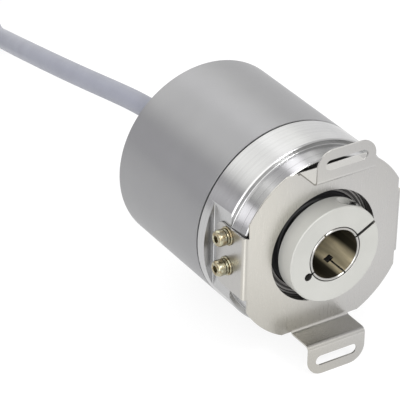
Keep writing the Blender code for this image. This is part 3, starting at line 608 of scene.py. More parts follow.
def blasted():
    """Bead blasted, with painted light that makes the side a little brighter than the front face."""
    made = Finish("blasted_collar", (0.445, 0.445, 0.42), 0.25, 0.5)
    speckle = made.noise(made.place, 7000.0, 2.0, 0.7)
    cloud = made.noise(made.place, 90.0)
    front = RING_LOW.y * MM
    # Painted light: the colour is brightened round the side and left darker on the front face.
    side = graded(made.tree, made.place, (0.0, 1.0, 0.0), front + 0.0002, front + 0.0006, 0.0, 0.6)
    made.vary_colour(combined(made.tree, "ADD", cloud, side), 0.93, 1.12, 0.3, 1.2)
    made.vary_roughness(speckle, 0.46, 0.56)
    made.bump(speckle, 0.006, 0.6)
    return made.material


def zinc():
    made = Finish("yellow_zinc_plating", (0.56, 0.52, 0.40), 1.0, 0.26)
    cloud = made.noise(made.place, 900.0, 3.0)
    grit = made.noise(made.place, 5000.0)
    made.blend(made.ranged(cloud, 0.0, 1.0, 0.38, 0.62), (0.28, 0.22, 0.13), (0.45, 0.44, 0.33))
    made.vary_roughness(grit, 0.2, 0.36)
    made.bump(grit, 0.006, 0.5)
    return made.material


def plain_metal(name, colour, roughness):
    made = Finish(name, colour, 1.0, roughness)
    grit = made.noise(made.place, 3500.0)
    cloud = made.noise(made.place, 300.0)
    made.vary_colour(cloud, 0.94, 1.03)
    made.vary_roughness(grit, roughness * 0.8, roughness * 1.3)
    made.bump(grit, 0.003, 0.4)
    return made.material


def moulded(name, colour, roughness):
    """A plastic or rubber with a fine eroded grain."""
    made = Finish(name, colour, 0.0, roughness)
    grit = made.noise(made.place, 2200.0, 3.0, 0.65)
    cloud = made.noise(made.place, 120.0)
    made.vary_colour(cloud, 0.9, 1.08)
    made.vary_roughness(grit, roughness * 0.85, min(1.0, roughness * 1.2))
    made.bump(grit, 0.01, 0.5)
    return made.material


def jacket():
    made = Finish("cable_sheath", (0.232, 0.240, 0.282), 0.0, 0.46)
    cloud = made.noise(made.place, 160.0, 3.0)
    grit = made.noise(made.place, 2600.0, 2.0, 0.6)
    made.vary_colour(cloud, 0.94, 1.05)
    made.vary_roughness(grit, 0.40, 0.54)
    made.bump(grit, 0.012, 0.35)
    made.set("Sheen Weight", 0.1)
    return made.material


def clear_glass():
    made = Finish("optical_glass", (0.86, 0.92, 0.93), 0.0, 0.04)
    haze = made.noise(made.place, 1200.0)
    made.vary_roughness(haze, 0.03, 0.08)
    made.set("Transmission Weight", 0.85)
    made.set("IOR", 1.5)
    return made.material


def circuit():
    made = Finish("solder_resist", (0.02, 0.16, 0.06), 0.0, 0.35)
    tracks = made.add("ShaderNodeTexVoronoi", feature="DISTANCE_TO_EDGE")
    tracks.inputs["Scale"].default_value = 420.0
    made.join(made.place, tracks.inputs["Vector"])
    made.vary_colour(tracks.outputs["Distance"], 1.5, 0.8, 0.02, 0.08)
    made.bump(tracks.outputs["Distance"], 0.02, 0.4)
    return made.material


def finishes():
    """One material for each of the record's slots, and a few for single surfaces."""
    return {
        "anodised_housing": anodised(),
        "turned_aluminium": turned_metal("turned_flange", (0.463, 0.463, 0.463), 0.24, 0.6, 0.004),
        "dark_turned": ridged_recess(),
        "stainless_sheet": sheet_metal(),
        "blasted_ring": blasted(),
        "sawn": plain_metal("sawn_aluminium", (0.30, 0.29, 0.275), 0.45),
        "shaft_steel": turned_metal("ground_shaft", (0.40, 0.39, 0.375), 0.24, 0.4, 0.003),
        "bore": honed_bore(),
        "yellow_zinc": zinc(),
        "bearing_steel": plain_metal("ground_steel", (0.42, 0.42, 0.42), 0.24),
        "brass": plain_metal("machined_brass", (0.72, 0.56, 0.27), 0.28),
        "black_rubber": moulded("black_seal_rubber", (0.02, 0.02, 0.022), 0.55),
        "circuit_board": circuit(),
        "chip_black": moulded("chip_epoxy", (0.03, 0.03, 0.03), 0.5),
        "white_plastic": moulded("white_nylon", (0.8, 0.8, 0.76), 0.4),
        "glass": clear_glass(),
        "nickel_plate": plain_metal("nickel_plating", (0.42, 0.407, 0.38), 0.30),
        "cable_jacket": jacket(),
        "black_plastic": moulded("black_nylon", (0.022, 0.022, 0.025), 0.42),
    }


# --- Cable ---


def run_along(points):
    """How far along the line each of its points is."""
    return np.concatenate([[0], np.cumsum(np.linalg.norm(np.diff(points, axis=0), axis=1))])


def smooth_path(points, spacing):
    """Points at an even spacing along the smooth curve through the given points (natural cubic)."""
    p = np.array(points, float)
    h = np.diff(run_along(p))
    n = len(p)
    equations = np.zeros((n, n))
    right = np.zeros((n, 3))
    equations[0, 0] = 1
    equations[-1, -1] = 1
    for i in range(1, n - 1):
        equations[i, i - 1 : i + 2] = h[i - 1], 2 * (h[i - 1] + h[i]), h[i]
        right[i] = 6 * ((p[i + 1] - p[i]) / h[i] - (p[i] - p[i - 1]) / h[i - 1])
    m = np.linalg.solve(equations, right)
    fine = []
    samples = 40
    for i in range(n - 1):
        for u in np.linspace(0, h[i], samples, endpoint=False):
            v = h[i] - u
            bent = (m[i] * v**3 + m[i + 1] * u**3) / (6 * h[i])
            straight = (p[i] / h[i] - m[i] * h[i] / 6) * v + (p[i + 1] / h[i] - m[i + 1] * h[i] / 6) * u
            fine.append(bent + straight)
    fine = np.array(fine + [p[-1]])
    run = run_along(fine)
    wanted = np.linspace(0, run[-1], max(2, round(run[-1] / spacing)) + 1)
    return np.stack([np.interp(wanted, run, fine[:, k]) for k in range(3)], 1)


def eased(value, stretch):
    """0 before the stretch, 1 after it, and smooth along it."""
    start, end = stretch
    t = min(1.0, max(0.0, (value - start) / (end - start)))
    return t * t * (3 - 2 * t)


def coil_turns(grow):
    """Two turns side by side on the floor and the rest on top of them. grow widens every turn."""
    points = []
    for i in range(round((COIL_TURN_OUT - COIL_TURN_IN) / COIL_STEP) + 1):
        run = COIL_STEP * i
        inwards = eased(run, COIL_INWARDS) - eased(run, COIL_OUTWARDS)
        radius = COIL_OUTER + grow - (COIL_OUTER - COIL_INNER) * inwards
        a = math.radians(COIL_TURN_IN + run)
        z = FLOOR_Z + CABLE_R + 2 * CABLE_R * eased(run, COIL_CLIMB)
        points.append((COIL_X + radius * math.cos(a), COIL_Y + radius * math.sin(a), z))
    return points


def cable_line(grow):
    return smooth_path(CABLE_ROUTE + coil_turns(grow) + TAIL_ROUTE, CABLE_SPACING)


def cable(looks):
    around = math.radians(COIL_TURN_OUT - COIL_TURN_IN)
    line = cable_line((CABLE_LENGTH - run_along(cable_line(0.0))[-1]) / around)
    curve = bpy.data.curves.new("cable_line", "CURVE")
    curve.dimensions = "3D"
    curve.bevel_depth = CABLE_R * MM
    curve.bevel_resolution = 6
    curve.use_fill_caps = True
    spline = curve.splines.new("POLY")
    spline.points.add(len(line) - 1)
    for point, at in zip(spline.points, line):
        point.co = (*(Vector(at) * MM), 1.0)
    spline.use_smooth = True
    curve.materials.append(looks["cable_jacket"])
    made = linked("cable_line", curve)
    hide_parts("cable", "cable_coil", "cable_tail")
    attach(made, "stator")


def tie(looks):
    """A flat strap round the coil, with its lock on top and the cut end of its tail."""
    slack, thick = 0.25, 1.2
    low, high = COIL_INNER - CABLE_R - slack, COIL_OUTER + CABLE_R + slack
    mid_r, half_r = (low + high) / 2, (high - low) / 2
    height = 4 * CABLE_R + 0.3
    mid_z, half_z = FLOOR_Z + thick / 2 + height / 2, height / 2 - thick / 2
    outer = rounded_box(half_r + thick, half_z + thick, 2.2)
    inner = rounded_box(half_r, half_z, 1.2)
    across = about(COIL_X, COIL_Y, 0) @ axes((0, 1, 0), (-1, 0, 0), (0, 0, 1)) @ about(mid_r, 0, mid_z)
    strap = obj_of("tie_strap", extruded(outer, -2.3, 2.3, across))
    combine(strap, "DIFFERENCE", extruded(inner, -3.0, 3.0, across))
    top = half_z + thick
    combine(strap, "UNION", block((-3.1, -3.0, top - 0.9), (3.1, 3.0, top + 2.6), across))
    combine(strap, "UNION", block((-2.9, -1.6, top + 0.7), (6.4, 1.6, top + 1.7), across))
    return piece(strap, looks, "black_plastic", "cable_tie", width=0.2)


def plug(looks):
    """The round plug at the cable's far end, which points along -Y."""
    stand = about(PLUG_X, PLUG_Y, PLUG_Z) @ Matrix.Rotation(math.pi, 4, "Z")
    profile = [(0, 3.0), (CABLE_R + 0.3, 3.0), (CABLE_R + 0.3, 0.3), (CABLE_R + 0.6, 0), (4.1, 0), (4.4, 0.3)]
    for i in range(4):
        y, r = 1.1 + 1.25 * i, 4.45 + 0.15 * i
        profile += [(r, y), (r - 0.45, y + 0.2), (r - 0.45, y + 0.55), (r + 0.05, y + 0.75)]
    profile += [(5.0, 6.0), (5.6, 7.0), (6.5, 7.5), (6.8, 7.9), (6.9, 8.5), (6.9, 22.6), (6.8, 23.0)]
    profile += [(6.4, 23.8), (6.2, 24.0), (5.1, 24.0), (5.1, 35.3), (4.9, 35.5), (4.6, 35.5), (4.5, 35.3)]
    shell = obj_of("plug_shell", turned(profile + [(4.5, 27.0), (0, 27.0)], 96))
    turns = [turn_y(2 * math.pi * i / PLUG_GRIPS) for i in range(PLUG_GRIPS)]
    grips = [block((-0.5, 10.0, 6.45), (0.5, 20.5, 8.0), turn) for turn in turns]
    combine(shell, "DIFFERENCE", together(*grips))
    soften(shell, 0.12)
    shell.data.transform(stand)
    piece(shell, looks, "black_plastic", "plug_body")

    face_y = 30.5
    base = [(0, 27.3), (4.2, 27.3), (4.2, face_y - 0.1), (4.1, face_y), (0, face_y)]
    contacts = obj_of("plug_contacts", turned(base, 64))
    pin = [(0, 30.2), (0.4, 30.2), (0.4, 34.5), (0.3, 34.8), (0.15, 34.9), (0, 34.9)]
    turns = [2 * math.pi * i / PIN_RING for i in range(PIN_RING)]
    spots = [(PIN_RING_R * math.cos(a), PIN_RING_R * math.sin(a)) for a in turns] + [(0.0, 0.0)]
    combine(contacts, "UNION", together(*[turned(pin, 16, about(x, 0, z)) for x, z in spots]))

    def is_pin(face):
        return face.center.y > (face_y + 0.05) * MM

    paint(contacts, looks, "black_plastic", "brass", is_pin)
    contacts.data.transform(stand)
    piece(contacts, looks, "black_plastic", "plug_insert")

    ring = [(5.5, 24.4), (6.5, 24.4), (6.8, 24.7), (7.2, 25.1), (7.3, 25.3), (7.3, 33.4), (7.1, 33.6)]
    ring += [(6.9, 33.8), (6.9, 36.8), (6.8, 37.0), (6.1, 37.0), (5.9, 36.8)]
    for i in range(6):
        y = 36.0 - 1.0 * i
        ring += [(5.9, y), (5.65, y - 0.5)]
    ring += [(5.9, 30.0), (5.9, 27.0), (5.5, 27.0)]
    nut = turned(ring)
    for vert in nut.verts:
        y = vert.co.y / MM
        out = off_axis(vert.co)
        if out > 7.15 and 25.2 < y < 33.5:
            wave = math.cos(NUT_RIDGES * math.atan2(vert.co.z, vert.co.x))
            scale = (out - NUT_RIDGE * (1 - wave)) / out
            vert.co.x *= scale
            vert.co.z *= scale
    nut.transform(stand)
    collar = piece(obj_of("plug_collar", nut), looks, "nickel_plate", "plug_nut", body="plug_nut")
    return [shell, contacts, collar]


# --- Housing and flange ---


def post_places():
    turns = [math.radians(degrees) for degrees in POST_TURNS]
    return [about(POST_AT * math.cos(a), 0, POST_AT * math.sin(a)) for a in turns]


def housing(looks):
    inner = BODY_R - HOUSING_WALL
    rear = [
        (BODY_R - EDGE_R + EDGE_R * math.sin(a), HOUSING_BACK - EDGE_R + EDGE_R * math.cos(a))
        for a in np.linspace(0, math.pi / 2, 9)
    ]
    profile = [(0, HOUSING_BACK)] + rear
    profile += [(BODY_R, HOUSING_FRONT + 0.22), (BODY_R - 0.07, HOUSING_FRONT + 0.07)]
    profile += [(BODY_R - 0.22, HOUSING_FRONT), (inner, HOUSING_FRONT)]
    profile += [(inner, HOUSING_BACK - HOUSING_FLOOR), (0, HOUSING_BACK - HOUSING_FLOOR)]
    shell = obj_of("housing_shell", turned(profile, 288))
    front = HOUSING_BACK - HOUSING_FLOOR - 1
    over = 0.25
    rim_r = REAR_HOLE_R + REAR_SCREW_SINK + over
    sink = [(0, front), (REAR_HOLE_R, front), (REAR_HOLE_R, HOUSING_BACK - REAR_SCREW_SINK)]
    sink += [(rim_r, HOUSING_BACK + over), (0, HOUSING_BACK + over)]
    holes = [disc(GLAND_HOLE_R, front, HOUSING_BACK + 1, 64, about(GLAND_X, 0, GLAND_Z))]
    holes += [turned(sink, 48, where) for where in post_places()]
    combine(shell, "DIFFERENCE", together(*holes))
    piece(shell, looks, "anodised_housing", "housing")
    inner = 27.0
    ring = [(inner, SEAL_LOW.y), (BODY_R - 0.35, SEAL_LOW.y), (BODY_R - 0.3, SEAL_LOW.y + 0.05)]
    ring += [(BODY_R - 0.3, SEAL_HIGH.y - 0.05), (BODY_R - 0.35, SEAL_HIGH.y), (inner, SEAL_HIGH.y)]
    piece(obj_of("joint_seal", turned(ring, 288)), looks, "black_rubber", "housing_seal")


def ear_screw_places():
    """Where each ear screw stands: its own Y axis runs outwards along the row's X axis."""
    turns = [(side, Matrix.Rotation(-side * math.pi / 2, 4, "Z")) for side in (-1, 1)]
    return [about(0, EAR_SCREW_Y, -side * z) @ turn for side, turn in turns for z in EAR_SCREW_Z]


def flange(looks):
    profile = [
        (RECESS_R, COLLAR_FRONT + 0.1), (RECESS_R + 0.1, COLLAR_FRONT),
        (NOSE_R - NOSE_CHAMFER, COLLAR_FRONT), (NOSE_R, COLLAR_FRONT + NOSE_CHAMFER),
        (NOSE_R + TAPER * (BAND_SPLIT - COLLAR_FRONT - NOSE_CHAMFER), BAND_SPLIT - 0.06),
        (NOSE_R, BAND_SPLIT), (COLLAR_R - TAPER * (RIM_FRONT - BAND_SPLIT), BAND_SPLIT + 0.06),
        (COLLAR_R, RIM_FRONT - 0.1), (COLLAR_R + 0.1, RIM_FRONT), (BODY_R - RIM_CHAMFER, RIM_FRONT),
        (BODY_R, RIM_FRONT + RIM_CHAMFER), (BODY_R, SHOULDER - 0.12), (BODY_R - 0.12, SHOULDER),
        (SPIGOT_R, SHOULDER), (SPIGOT_R, SPIGOT_BACK), (SLEEVE_R, SPIGOT_BACK), (SLEEVE_R, SLEEVE_BACK),
        (BEARING_BORE_R, SLEEVE_BACK), (BEARING_BORE_R, BEARING_FRONT - CLEAR),
        (LIP_R, BEARING_FRONT - CLEAR), (LIP_R, SEAL_SEAT_BACK), (SEAL_SEAT_R, SEAL_SEAT_BACK),
        (SEAL_SEAT_R, RECESS_BACK), (RECESS_R, RECESS_BACK),
    ]
    body = obj_of("flange_body", turned(profile, 288))
    reach = BODY_R + 2
    front = COLLAR_FRONT - 2
    corner = arc(FLAT_X + MILL_R, FLAT_BACK - MILL_R, MILL_R, 180, 90, 6)
    outline = [(FLAT_X, front)] + corner + [(reach, FLAT_BACK), (reach, front)]
    upright = axes((1, 0, 0), (0, 0, 1), (0, 1, 0))
    flats = [extruded(outline, -reach, reach, side @ upright) for side in (Matrix(), turn_y(math.pi))]
    combine(body, "DIFFERENCE", together(*flats))
    deep = FLAT_X - EAR_SCREW_DEPTH
    holes = [disc(EAR_HOLE_R, deep, FLAT_X + 1, 40, where) for where in ear_screw_places()]
    combine(body, "DIFFERENCE", together(*holes))
    soften(body, 0.1, 2, 40)

    def in_recess(face):
        return off_axis(face.center) < RECESS_R + 0.02 and face.center.y < BEARING_FRONT * MM

    paint(body, looks, "turned_aluminium", "dark_turned", in_recess)
    piece(body, looks, "turned_aluminium", "flange")


def shaft_seal(looks):
    front, back = LIP_LOW.y, LIP_HIGH.y
    lip = [(14.7, front + 0.2), (14.7, back), (10.6, back), (10.3, front + 1.7), (10.4, front + 1.2)]
    lip += [(10.9, front + 0.1), (11.1, front), (12.0, front), (12.4, front + 0.35), (13.6, front + 0.35)]
    lip += [(13.9, front), (14.5, front)]
    piece(obj_of("lip_seal", turned(lip)), looks, "black_rubber", "shaft_seal")


# --- Stator coupling and its screws ---


def strip(path, width, place):
    """A bent strip of sheet: path gives its middle as (x, z) points, and it is width wide along Y."""
    middle = np.array(path)
    along = np.gradient(middle, axis=0)
    along /= np.linalg.norm(along, axis=1)[:, None]
    side = np.stack([-along[:, 1], along[:, 0]], 1) * SHEET / 2
    outline = [tuple(p) for p in middle + side] + [tuple(p) for p in (middle - side)[::-1]]
    return extruded(outline, -width / 2, width / 2, place)


def ear_strip(side):
    """Local x is the row's |X| and local z is the row's Y."""
    plane = PLATE_FRONT + SHEET / 2
    path = [(PLATE_HALF_X - 2.5, plane), (PLATE_HALF_X - 1.2, plane)]
    path += arc(EAR_X - EAR_BEND_R, PLATE_FRONT + EAR_BEND_R, EAR_BEND_R - SHEET / 2, -90, 0, 12)
    path += [(EAR_X - SHEET / 2, PLATE_FRONT + EAR_BEND_R + 1.5), (EAR_X - SHEET / 2, EAR_BACK)]
    return strip(path, 2 * EAR_HALF_Z, axes((side, 0, 0), (0, 0, 1), (0, 1, 0)))


def foot_strip(side):
    """Local x is the row's |Z| and local z is the row's Y."""
    plane = PLATE_FRONT + SHEET / 2
    face = SHEET / 2
    path = [(PLATE_HALF_Z - 2.5, plane), (PLATE_HALF_Z - 1.2, plane)]
    path += arc(FOOT_LEG_Z - FOOT_BEND_R, plane - FOOT_BEND_R, FOOT_BEND_R, 90, 0, 12)
    path += [(FOOT_LEG_Z, plane - 2.4), (FOOT_LEG_Z, face + 2.4)]
    path += arc(FOOT_LEG_Z + FOOT_BEND_R, face + FOOT_BEND_R, FOOT_BEND_R, 180, 270, 12)
    path += [(FOOT_LEG_Z + 2.4, face), (FOOT_TIP_Z, face)]
    return strip(path, 2 * FOOT_HALF_X, axes((0, 0, side), (1, 0, 0), (0, 1, 0)))


def corner_cutter(x, y, radius, place):
    """The waste outside a rounded corner at (x, y), for positive x and y."""
    over = 1.0
    outline = [(x + over, y - radius)] + arc(x - radius, y - radius, radius, 0, 90, 14)
    outline += [(x - radius, y + over), (x + over, y + over)]
    return extruded(outline, -1.5, 1.5, place)


def stator_coupling(looks):
    edge_x = math.degrees(math.acos(PLATE_HALF_X / PLATE_R))
    edge_z = math.degrees(math.asin(PLATE_HALF_Z / PLATE_R))
    outline = []
    for quarter in range(4):
        low, high = (edge_x, edge_z) if quarter % 2 == 0 else (90 - edge_z, 90 - edge_x)
        outline += arc(0, 0, PLATE_R, 90 * quarter + low, 90 * quarter + high, 20)
    body = obj_of("coupling_sheet", extruded(outline, PLATE_FRONT, PLATE_FRONT + SHEET))
    for arm in (ear_strip(1), ear_strip(-1), foot_strip(1), foot_strip(-1)):
        combine(body, "UNION", arm)
    waste = [disc(PLATE_HOLE_R, PLATE_FRONT - 2, PLATE_FRONT + 2, 160)]
    half = SLOT_LENGTH / 2 - SLOT_WIDTH / 2
    slot = arc(half, 0, SLOT_WIDTH / 2, -90, 90, 18) + arc(-half, 0, SLOT_WIDTH / 2, 90, 270, 18)
    for up in (1, -1):
        waste.append(extruded(slot, -1, 1.5, about(0, 0, up * SLOT_Z)))
        for side in (1, -1):
            mirror = Matrix.Diagonal((side, 1, up, 1))
            waste.append(corner_cutter(FOOT_HALF_X, FOOT_TIP_Z, FOOT_CORNER_R, mirror))
            stand = about(side * EAR_X, 0, 0) @ axes((0, 0, up), (side, 0, 0), (0, 1, 0))
            waste.append(corner_cutter(EAR_HALF_Z, EAR_BACK, EAR_CORNER_R, stand))
    waste += [disc(EAR_HOLE_R, EAR_X - 2, EAR_X + 2, 40, where) for where in ear_screw_places()]
    combine(body, "DIFFERENCE", together(*waste))
    soften(body, 0.07, 2, 50)
    piece(body, looks, "stainless_sheet", "stator_coupling")


def spring_washer(inner, outer, front, thick, rise):
    """One open turn of square wire whose ends stand apart along Y."""
    steps, gap = 72, math.radians(16)
    bm = bmesh.new()
    rings = []
    for i in range(steps + 1):
        t = i / steps
        a = gap / 2 + (2 * math.pi - gap) * t
        y = front + rise * t
        wire = [(inner, y), (outer, y), (outer, y + thick), (inner, y + thick)]
        rings.append([bm.verts.new(Vector((r * math.cos(a), yy, r * math.sin(a))) * MM) for r, yy in wire])
    for here, there in zip(rings, rings[1:]):
        for k in range(4):
            bm.faces.new((here[k], here[k - 1], there[k - 1], there[k]))
    bm.faces.new(rings[0])
    bm.faces.new(rings[-1][::-1])
    return finished(bm, Matrix())


def ear_fasteners(looks):
    flat = EAR_X + CLEAR
    spring = flat + FLAT_WASHER_STEP
    head = spring + SPRING_WASHER_STEP
    top = head + EAR_HEAD_HEIGHT
    tip = EAR_X - EAR_SCREW_DEPTH
    screw = [(0, tip), (EAR_SCREW_R - 0.3, tip), (EAR_SCREW_R, tip + 0.3), (EAR_SCREW_R, head)]
    screw += [(EAR_HEAD_R - 0.1, head), (EAR_HEAD_R, head + 0.1)]
    for i in range(9):
        a = math.pi / 2 * i / 8
        screw.append((EAR_HEAD_R - 0.8 + 0.8 * math.cos(a), top - 1.1 + 1.1 * math.sin(a)))
    screw += [(1.3, top), (1.2, top - 0.1), (0, top - 0.1)]
    rim = FLAT_WASHER_R
    ring = [(EAR_HOLE_R, flat), (rim, flat), (rim, flat + 0.35), (rim - 0.1, flat + 0.47)]
    ring += [(rim - 0.2, flat + 0.5), (EAR_HOLE_R, flat + 0.5)]
    for number, where in enumerate(ear_screw_places(), 1):
        bolt = obj_of(f"cap_screw_{number}", turned(screw, 96))
        combine(bolt, "DIFFERENCE", extruded(hexagon(SOCKET), top - 1.5, top + 1))
        bolt.data.transform(where)
        piece(bolt, looks, "yellow_zinc", f"coupling_screw_{number}")
        plain = obj_of(f"plain_washer_{number}", turned(ring, 96, where))
        piece(plain, looks, "yellow_zinc", f"flat_washer_{number}")
        coil = spring_washer(EAR_HOLE_R, SPRING_WASHER_R, spring, 0.62, 0.13)
        coil.transform(where)
        split = obj_of(f"split_washer_{number}", coil)
        piece(split, looks, "yellow_zinc", f"spring_washer_{number}", width=0.06)


# --- Shaft and clamp ring ---


def hollow_shaft(looks):
    groove_front, groove_back = SHAFT_GROOVE
    profile = [
        (0, SHAFT_BACK), (TAIL_R - 0.4, SHAFT_BACK), (TAIL_R, SHAFT_BACK - 0.4), (TAIL_R, groove_back),
        (SHAFT_GROOVE_R, groove_back), (SHAFT_GROOVE_R, groove_front), (SHAFT_R, groove_front),
        (SHAFT_R, COLLET_BACK + 0.3), (SHAFT_R - 0.3, COLLET_BACK), (COLLET_R, COLLET_BACK),
        (COLLET_R, SHAFT_FRONT + 0.15), (COLLET_R - 0.15, SHAFT_FRONT), (BORE_R + 0.16, SHAFT_FRONT),
        (BORE_R, SHAFT_FRONT + 0.16), (BORE_R, BORE_BACK), (0, BORE_BACK + 2.0),
    ]
    shaft = obj_of("bored_shaft", turned(profile))
    width, front, back = COLLET_WINDOW
    half, wide = COLLET_SLOT / 2, width / 2
    outline = [(half, SHAFT_FRONT - 1), (half, front), (wide, front), (wide, back)]
    outline += [(-x, y) for x, y in reversed(outline)]
    stand = axes((0, 0, 1), (1, 0, 0), (0, 1, 0))
    places = [turn_y(SLIT_TURN + quarter * math.pi / 2) @ stand for quarter in range(4)]
    cuts = [extruded(outline, BORE_R - 1.2, COLLET_R + 1, where) for where in places]
    combine(shaft, "DIFFERENCE", together(*cuts))

    def in_bore(face):
        return off_axis(face.center) < BORE_R + 0.01 and face.center.y > (SHAFT_FRONT + 0.14) * MM

    paint(shaft, looks, "shaft_steel", "bore", in_bore)
    piece(shaft, looks, "shaft_steel", "hollow_shaft", body="rotor")


def clamp_screw_place():
    """Its own Y axis points across the slit, towards the screw's head."""
    middle = (SHAFT_FRONT + RING_BACK) / 2
    stand = axes((1, 0, 0), (0, 0, 1), (0, -1, 0))
    return turn_y(SLIT_TURN) @ about(CLAMP_SCREW_AT, middle, 0) @ stand


def clamp_ring(looks):
    profile = [
        (RING_BORE_R, SHAFT_FRONT + 0.15), (RING_BORE_R + 0.15, SHAFT_FRONT),
        (RING_R - 0.3, SHAFT_FRONT), (RING_R, SHAFT_FRONT + 0.3), (RING_R, RING_BACK - 0.3),
        (RING_R - 0.3, RING_BACK), (RING_BORE_R, RING_BACK),
    ]
    ring = obj_of("clamp_collar", turned(profile, 240))
    front, back = SHAFT_FRONT - 1, RING_BACK + 1
    opened = block((RING_BORE_R - 1, front, -RING_SLIT / 2), (RING_R + 1, back, RING_SLIT / 2))
    relief = disc(RELIEF_R, front, back, 48, about(-RELIEF_AT, 0, 0))
    neck = block((-RELIEF_AT, front, -0.45), (-RING_BORE_R + 1, back, 0.45))
    for cut in (opened, relief, neck):
        cut.transform(turn_y(SLIT_TURN))
        combine(ring, "DIFFERENCE", cut)
    pocket_r = CLAMP_HEAD_R + 0.3
    deep, mouth = -8.5, 12
    bore = [(0, deep), (CLAMP_HOLE_R, deep), (CLAMP_HOLE_R, CLAMP_SEAT)]
    bore += [(pocket_r, CLAMP_SEAT), (pocket_r, mouth), (0, mouth)]
    combine(ring, "DIFFERENCE", turned(bore, 64, clamp_screw_place()))
    soften(ring, 0.08, 2, 40)

    def is_cut(face):
        return abs(face.normal.y) < 0.5 and off_axis(face.center) < RING_R - 0.35

    paint(ring, looks, "blasted_ring", "sawn", is_cut)
    piece(ring, looks, "blasted_ring", "clamp_ring", body="rotor")

    head = CLAMP_SEAT + CLEAR
    top = head + CLAMP_HEAD_HEIGHT
    tip = deep + 1
    screw = [(0, tip), (CLAMP_SCREW_R - 0.25, tip), (CLAMP_SCREW_R, tip + 0.25)]
    screw += [(CLAMP_SCREW_R, head), (CLAMP_HEAD_R, head)]
    screw += [(CLAMP_HEAD_R, top - 0.3), (CLAMP_HEAD_R - 0.3, top), (0, top)]
    bolt = obj_of("clamp_bolt", turned(screw, 64))
    combine(bolt, "DIFFERENCE", extruded(hexagon(SOCKET), top - 1.3, top + 1))
    bolt.data.transform(clamp_screw_place())
    piece(bolt, looks, "bearing_steel", "clamp_screw", body="rotor")


# --- Rear fittings ---


def rear_fittings(looks):
    where = about(GLAND_X, 0, GLAND_Z)
    low, high = span("gland_washer")
    ring = [(5.3, low.y), (6.3, low.y), (6.4, low.y + 0.15)]
    ring += [(6.4, high.y - 0.15), (6.3, high.y), (5.3, high.y)]
    piece(obj_of("gland_gasket", turned(ring, 96, where)), looks, "black_rubber", "gland_washer")
    back = GLAND_HIGH.y
    shoulder = high.y + CLEAR
    body = [
        (0, GLAND_LOW.y), (GLAND_THREAD_R, GLAND_LOW.y), (GLAND_THREAD_R, shoulder),
        (GLAND_R - 0.15, shoulder), (GLAND_R, shoulder + 0.15), (GLAND_R, back - 2.4),
        (GLAND_R - 0.15, back - 2.15), (5.6, back - 1.8), (5.35, back - 0.5), (5.2, back - 0.15),
        (4.9, back), (CABLE_R + 0.35, back), (CABLE_R + 0.2, back - 0.2), (CABLE_R + 0.2, back - 2.3),
        (0, back - 2.3),
    ]
    gland = obj_of("gland_body", turned(body, 96))
    corner, other = (5.95, shoulder - 1, -5), (8, back - 2.5, 5)
    flats = [block(corner, other, turn_y(math.pi / 3 * side)) for side in range(6)]
    combine(gland, "DIFFERENCE", together(*flats))
    gland.data.transform(where)
    piece(gland, looks, "nickel_plate", "cable_gland", width=0.05)
    top = HOUSING_BACK - 0.15
    tip = 62
    screw = [(0, tip), (REAR_SCREW_R, tip), (REAR_SCREW_R, HOUSING_BACK - REAR_SCREW_SINK)]
    screw += [(REAR_SCREW_HEAD_R, top - 0.12), (REAR_SCREW_HEAD_R - 0.1, top), (0, top)]
    for number, place in enumerate(post_places(), 1):
        bolt = obj_of(f"rear_screw_{number}", turned(screw, 64))
        combine(bolt, "DIFFERENCE", extruded(hexagon(SOCKET), top - 1.1, top + 1))
        bolt.data.transform(place)
        piece(bolt, looks, "bearing_steel", f"housing_screw_{number}")


# --- Kept CAD nodes, light and floor ---


def kept_nodes(looks):
    """The inner parts keep their CAD meshes and get the finish of their own slot."""
    for part in frame["record"]["subparts"]:
        node = frame["nodes"][part["node"]]
        if not node.hide_render:
            node.data.materials.clear()
            node.data.materials.append(looks[part["material_slot"]])


def area_light(name, at, aim, size, power):
    """A soft box. Places are in metres."""
    data = bpy.data.lights.new(name, "AREA")
    data.shape = "RECTANGLE"
    data.size, data.size_y = size
    data.energy = power
    made = linked(name, data)
    made.location = at
    made.rotation_mode = "QUATERNION"
    made.rotation_quaternion = (Vector(aim) - Vector(at)).to_track_quat("-Z", "Y")


# The soft box, what dims it at the right, overhead and in front, and the grey ground: each a direction,
# the stretch along it, and the values before and after it.
TENT_BOX = ((0.35, 0.0, 1.0), 0.16, 0.36, 0.0, 1.20)
TENT_RIGHT = ((1.0, 0.0, 0.0), 0.25, 0.8, 1.0, 0.5)
TENT_ROOF = ((0.0, 0.0, 1.0), 0.75, 0.82, 1.0, 0.0)
TENT_FRONT = ((0.0, 1.0, 0.0), -0.35, 0.05, 0.8, 1.0)
TENT_GROUND = ((0.3, 0.3, -0.3), -0.1, 0.3, 0.54, 0.68)
# Lamps and dark flags: direction, the cosines at which each starts and is full, and its power.
LAMPS = (
    ((0.10, 0.48, 0.87), 0.981, 0.991, 2.1),
    ((-0.82, 0.49, 0.31), 0.985, 0.995, 1.7),
    ((-0.55, -0.45, 0.70), 0.75, 0.9, 1.1),
    ((-0.62, 0.49, 0.61), 0.969, 0.992, -1.05),
    ((0.67, 0.41, 0.62), 0.95, 0.982, -0.9),
    ((0.47, -0.72, 0.51), 0.89, 0.97, -0.38),
)
FLOOR_GLOW = 0.80
FLOOR_HALF = 3.0  # metres
# Bright patches of the floor: middle, glow, and the distances at which each starts and ends to fade.
FLOOR_KEYS = (
    ((0.024, -0.060, FLOOR_Z * MM), 0.48, 0.012, 0.060),
    ((-0.078, -0.017, FLOOR_Z * MM), 1.4, 0.010, 0.028),
)


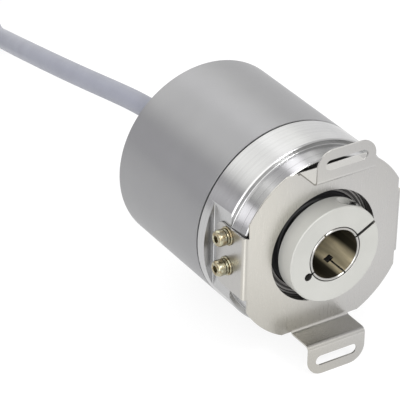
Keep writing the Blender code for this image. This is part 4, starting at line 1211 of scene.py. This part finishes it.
def light_tent():
    """A soft box fills the upper back, lamps and flags stand round it, and the rest is grey."""
    world = bpy.data.worlds.new("studio")
    bpy.context.scene.world = world
    world.use_nodes = True
    tree = world.node_tree
    toward = tree.nodes.new("ShaderNodeTexCoord").outputs["Generated"]
    box = graded(tree, toward, *TENT_BOX)
    for fade in (TENT_RIGHT, TENT_ROOF):
        box = combined(tree, "MULTIPLY", box, graded(tree, toward, *fade))
    glow = combined(tree, "MULTIPLY", box, graded(tree, toward, *TENT_FRONT))
    for direction, edge, core, power in LAMPS:
        lamp = graded(tree, toward, direction, edge, core, 0.0, power)
        glow = combined(tree, "ADD", glow, lamp)
    ground = graded(tree, toward, *TENT_GROUND)
    tint = tree.nodes.new("ShaderNodeMix")
    tint.data_type = "RGBA"
    tint.inputs["A"].default_value = (0.975, 0.965, 1.0, 1.0)
    tint.inputs["B"].default_value = (1.0, 1.0, 0.982, 1.0)
    tree.links.new(box, tint.inputs["Factor"])
    backdrop = tree.nodes["Background"]
    tree.links.new(tint.outputs["Result"], backdrop.inputs["Color"])
    tree.links.new(combined(tree, "ADD", glow, ground), backdrop.inputs["Strength"])


def studio():
    """A white floor whose two brighter patches only the reflections show, under a light tent."""
    bpy.context.scene.view_settings.view_transform = "Standard"
    light_tent()
    finish = Finish("studio_floor", (0.22, 0.22, 0.22), 0.0, 0.9)
    finish.set("Specular IOR Level", 0.0)
    finish.set("Emission Color", (1.0, 1.0, 1.0, 1.0))
    glow = None
    for middle, power, near, far in FLOOR_KEYS:
        away = finish.add("ShaderNodeVectorMath", operation="DISTANCE")
        away.inputs[1].default_value = middle
        finish.join(finish.place, away.inputs[0])
        base = 0.0 if glow else FLOOR_GLOW
        patch = finish.ranged(away.outputs["Value"], base + power, base, near, far)
        glow = combined(finish.tree, "ADD", glow, patch) if glow else patch
    finish.join(glow, finish.shader.inputs["Emission Strength"])
    bm = bmesh.new()
    corners = ((-1, -1), (1, -1), (1, 1), (-1, 1))
    bm.faces.new([bm.verts.new((x * FLOOR_HALF, y * FLOOR_HALF, FLOOR_Z * MM)) for x, y in corners])
    floor = obj_of("studio_floor", bm)
    floor.data.materials.append(finish.material)

    aim = (0.0, 0.04, 0.0)
    area_light("front_top_box", (0.13, -0.76, 0.76), aim, (0.28, 0.24), 2.85)
    area_light("front_left_box", (-0.72, -0.66, 0.22), aim, (0.42, 0.42), 2.2)


def main():
    camera()
    looks = finishes()
    extras = plug(looks) + [tie(looks)]
    cable(looks)
    housing(looks)
    flange(looks)
    shaft_seal(looks)
    stator_coupling(looks)
    ear_fasteners(looks)
    hollow_shaft(looks)
    clamp_ring(looks)
    rear_fittings(looks)
    kept_nodes(looks)
    studio()


main()
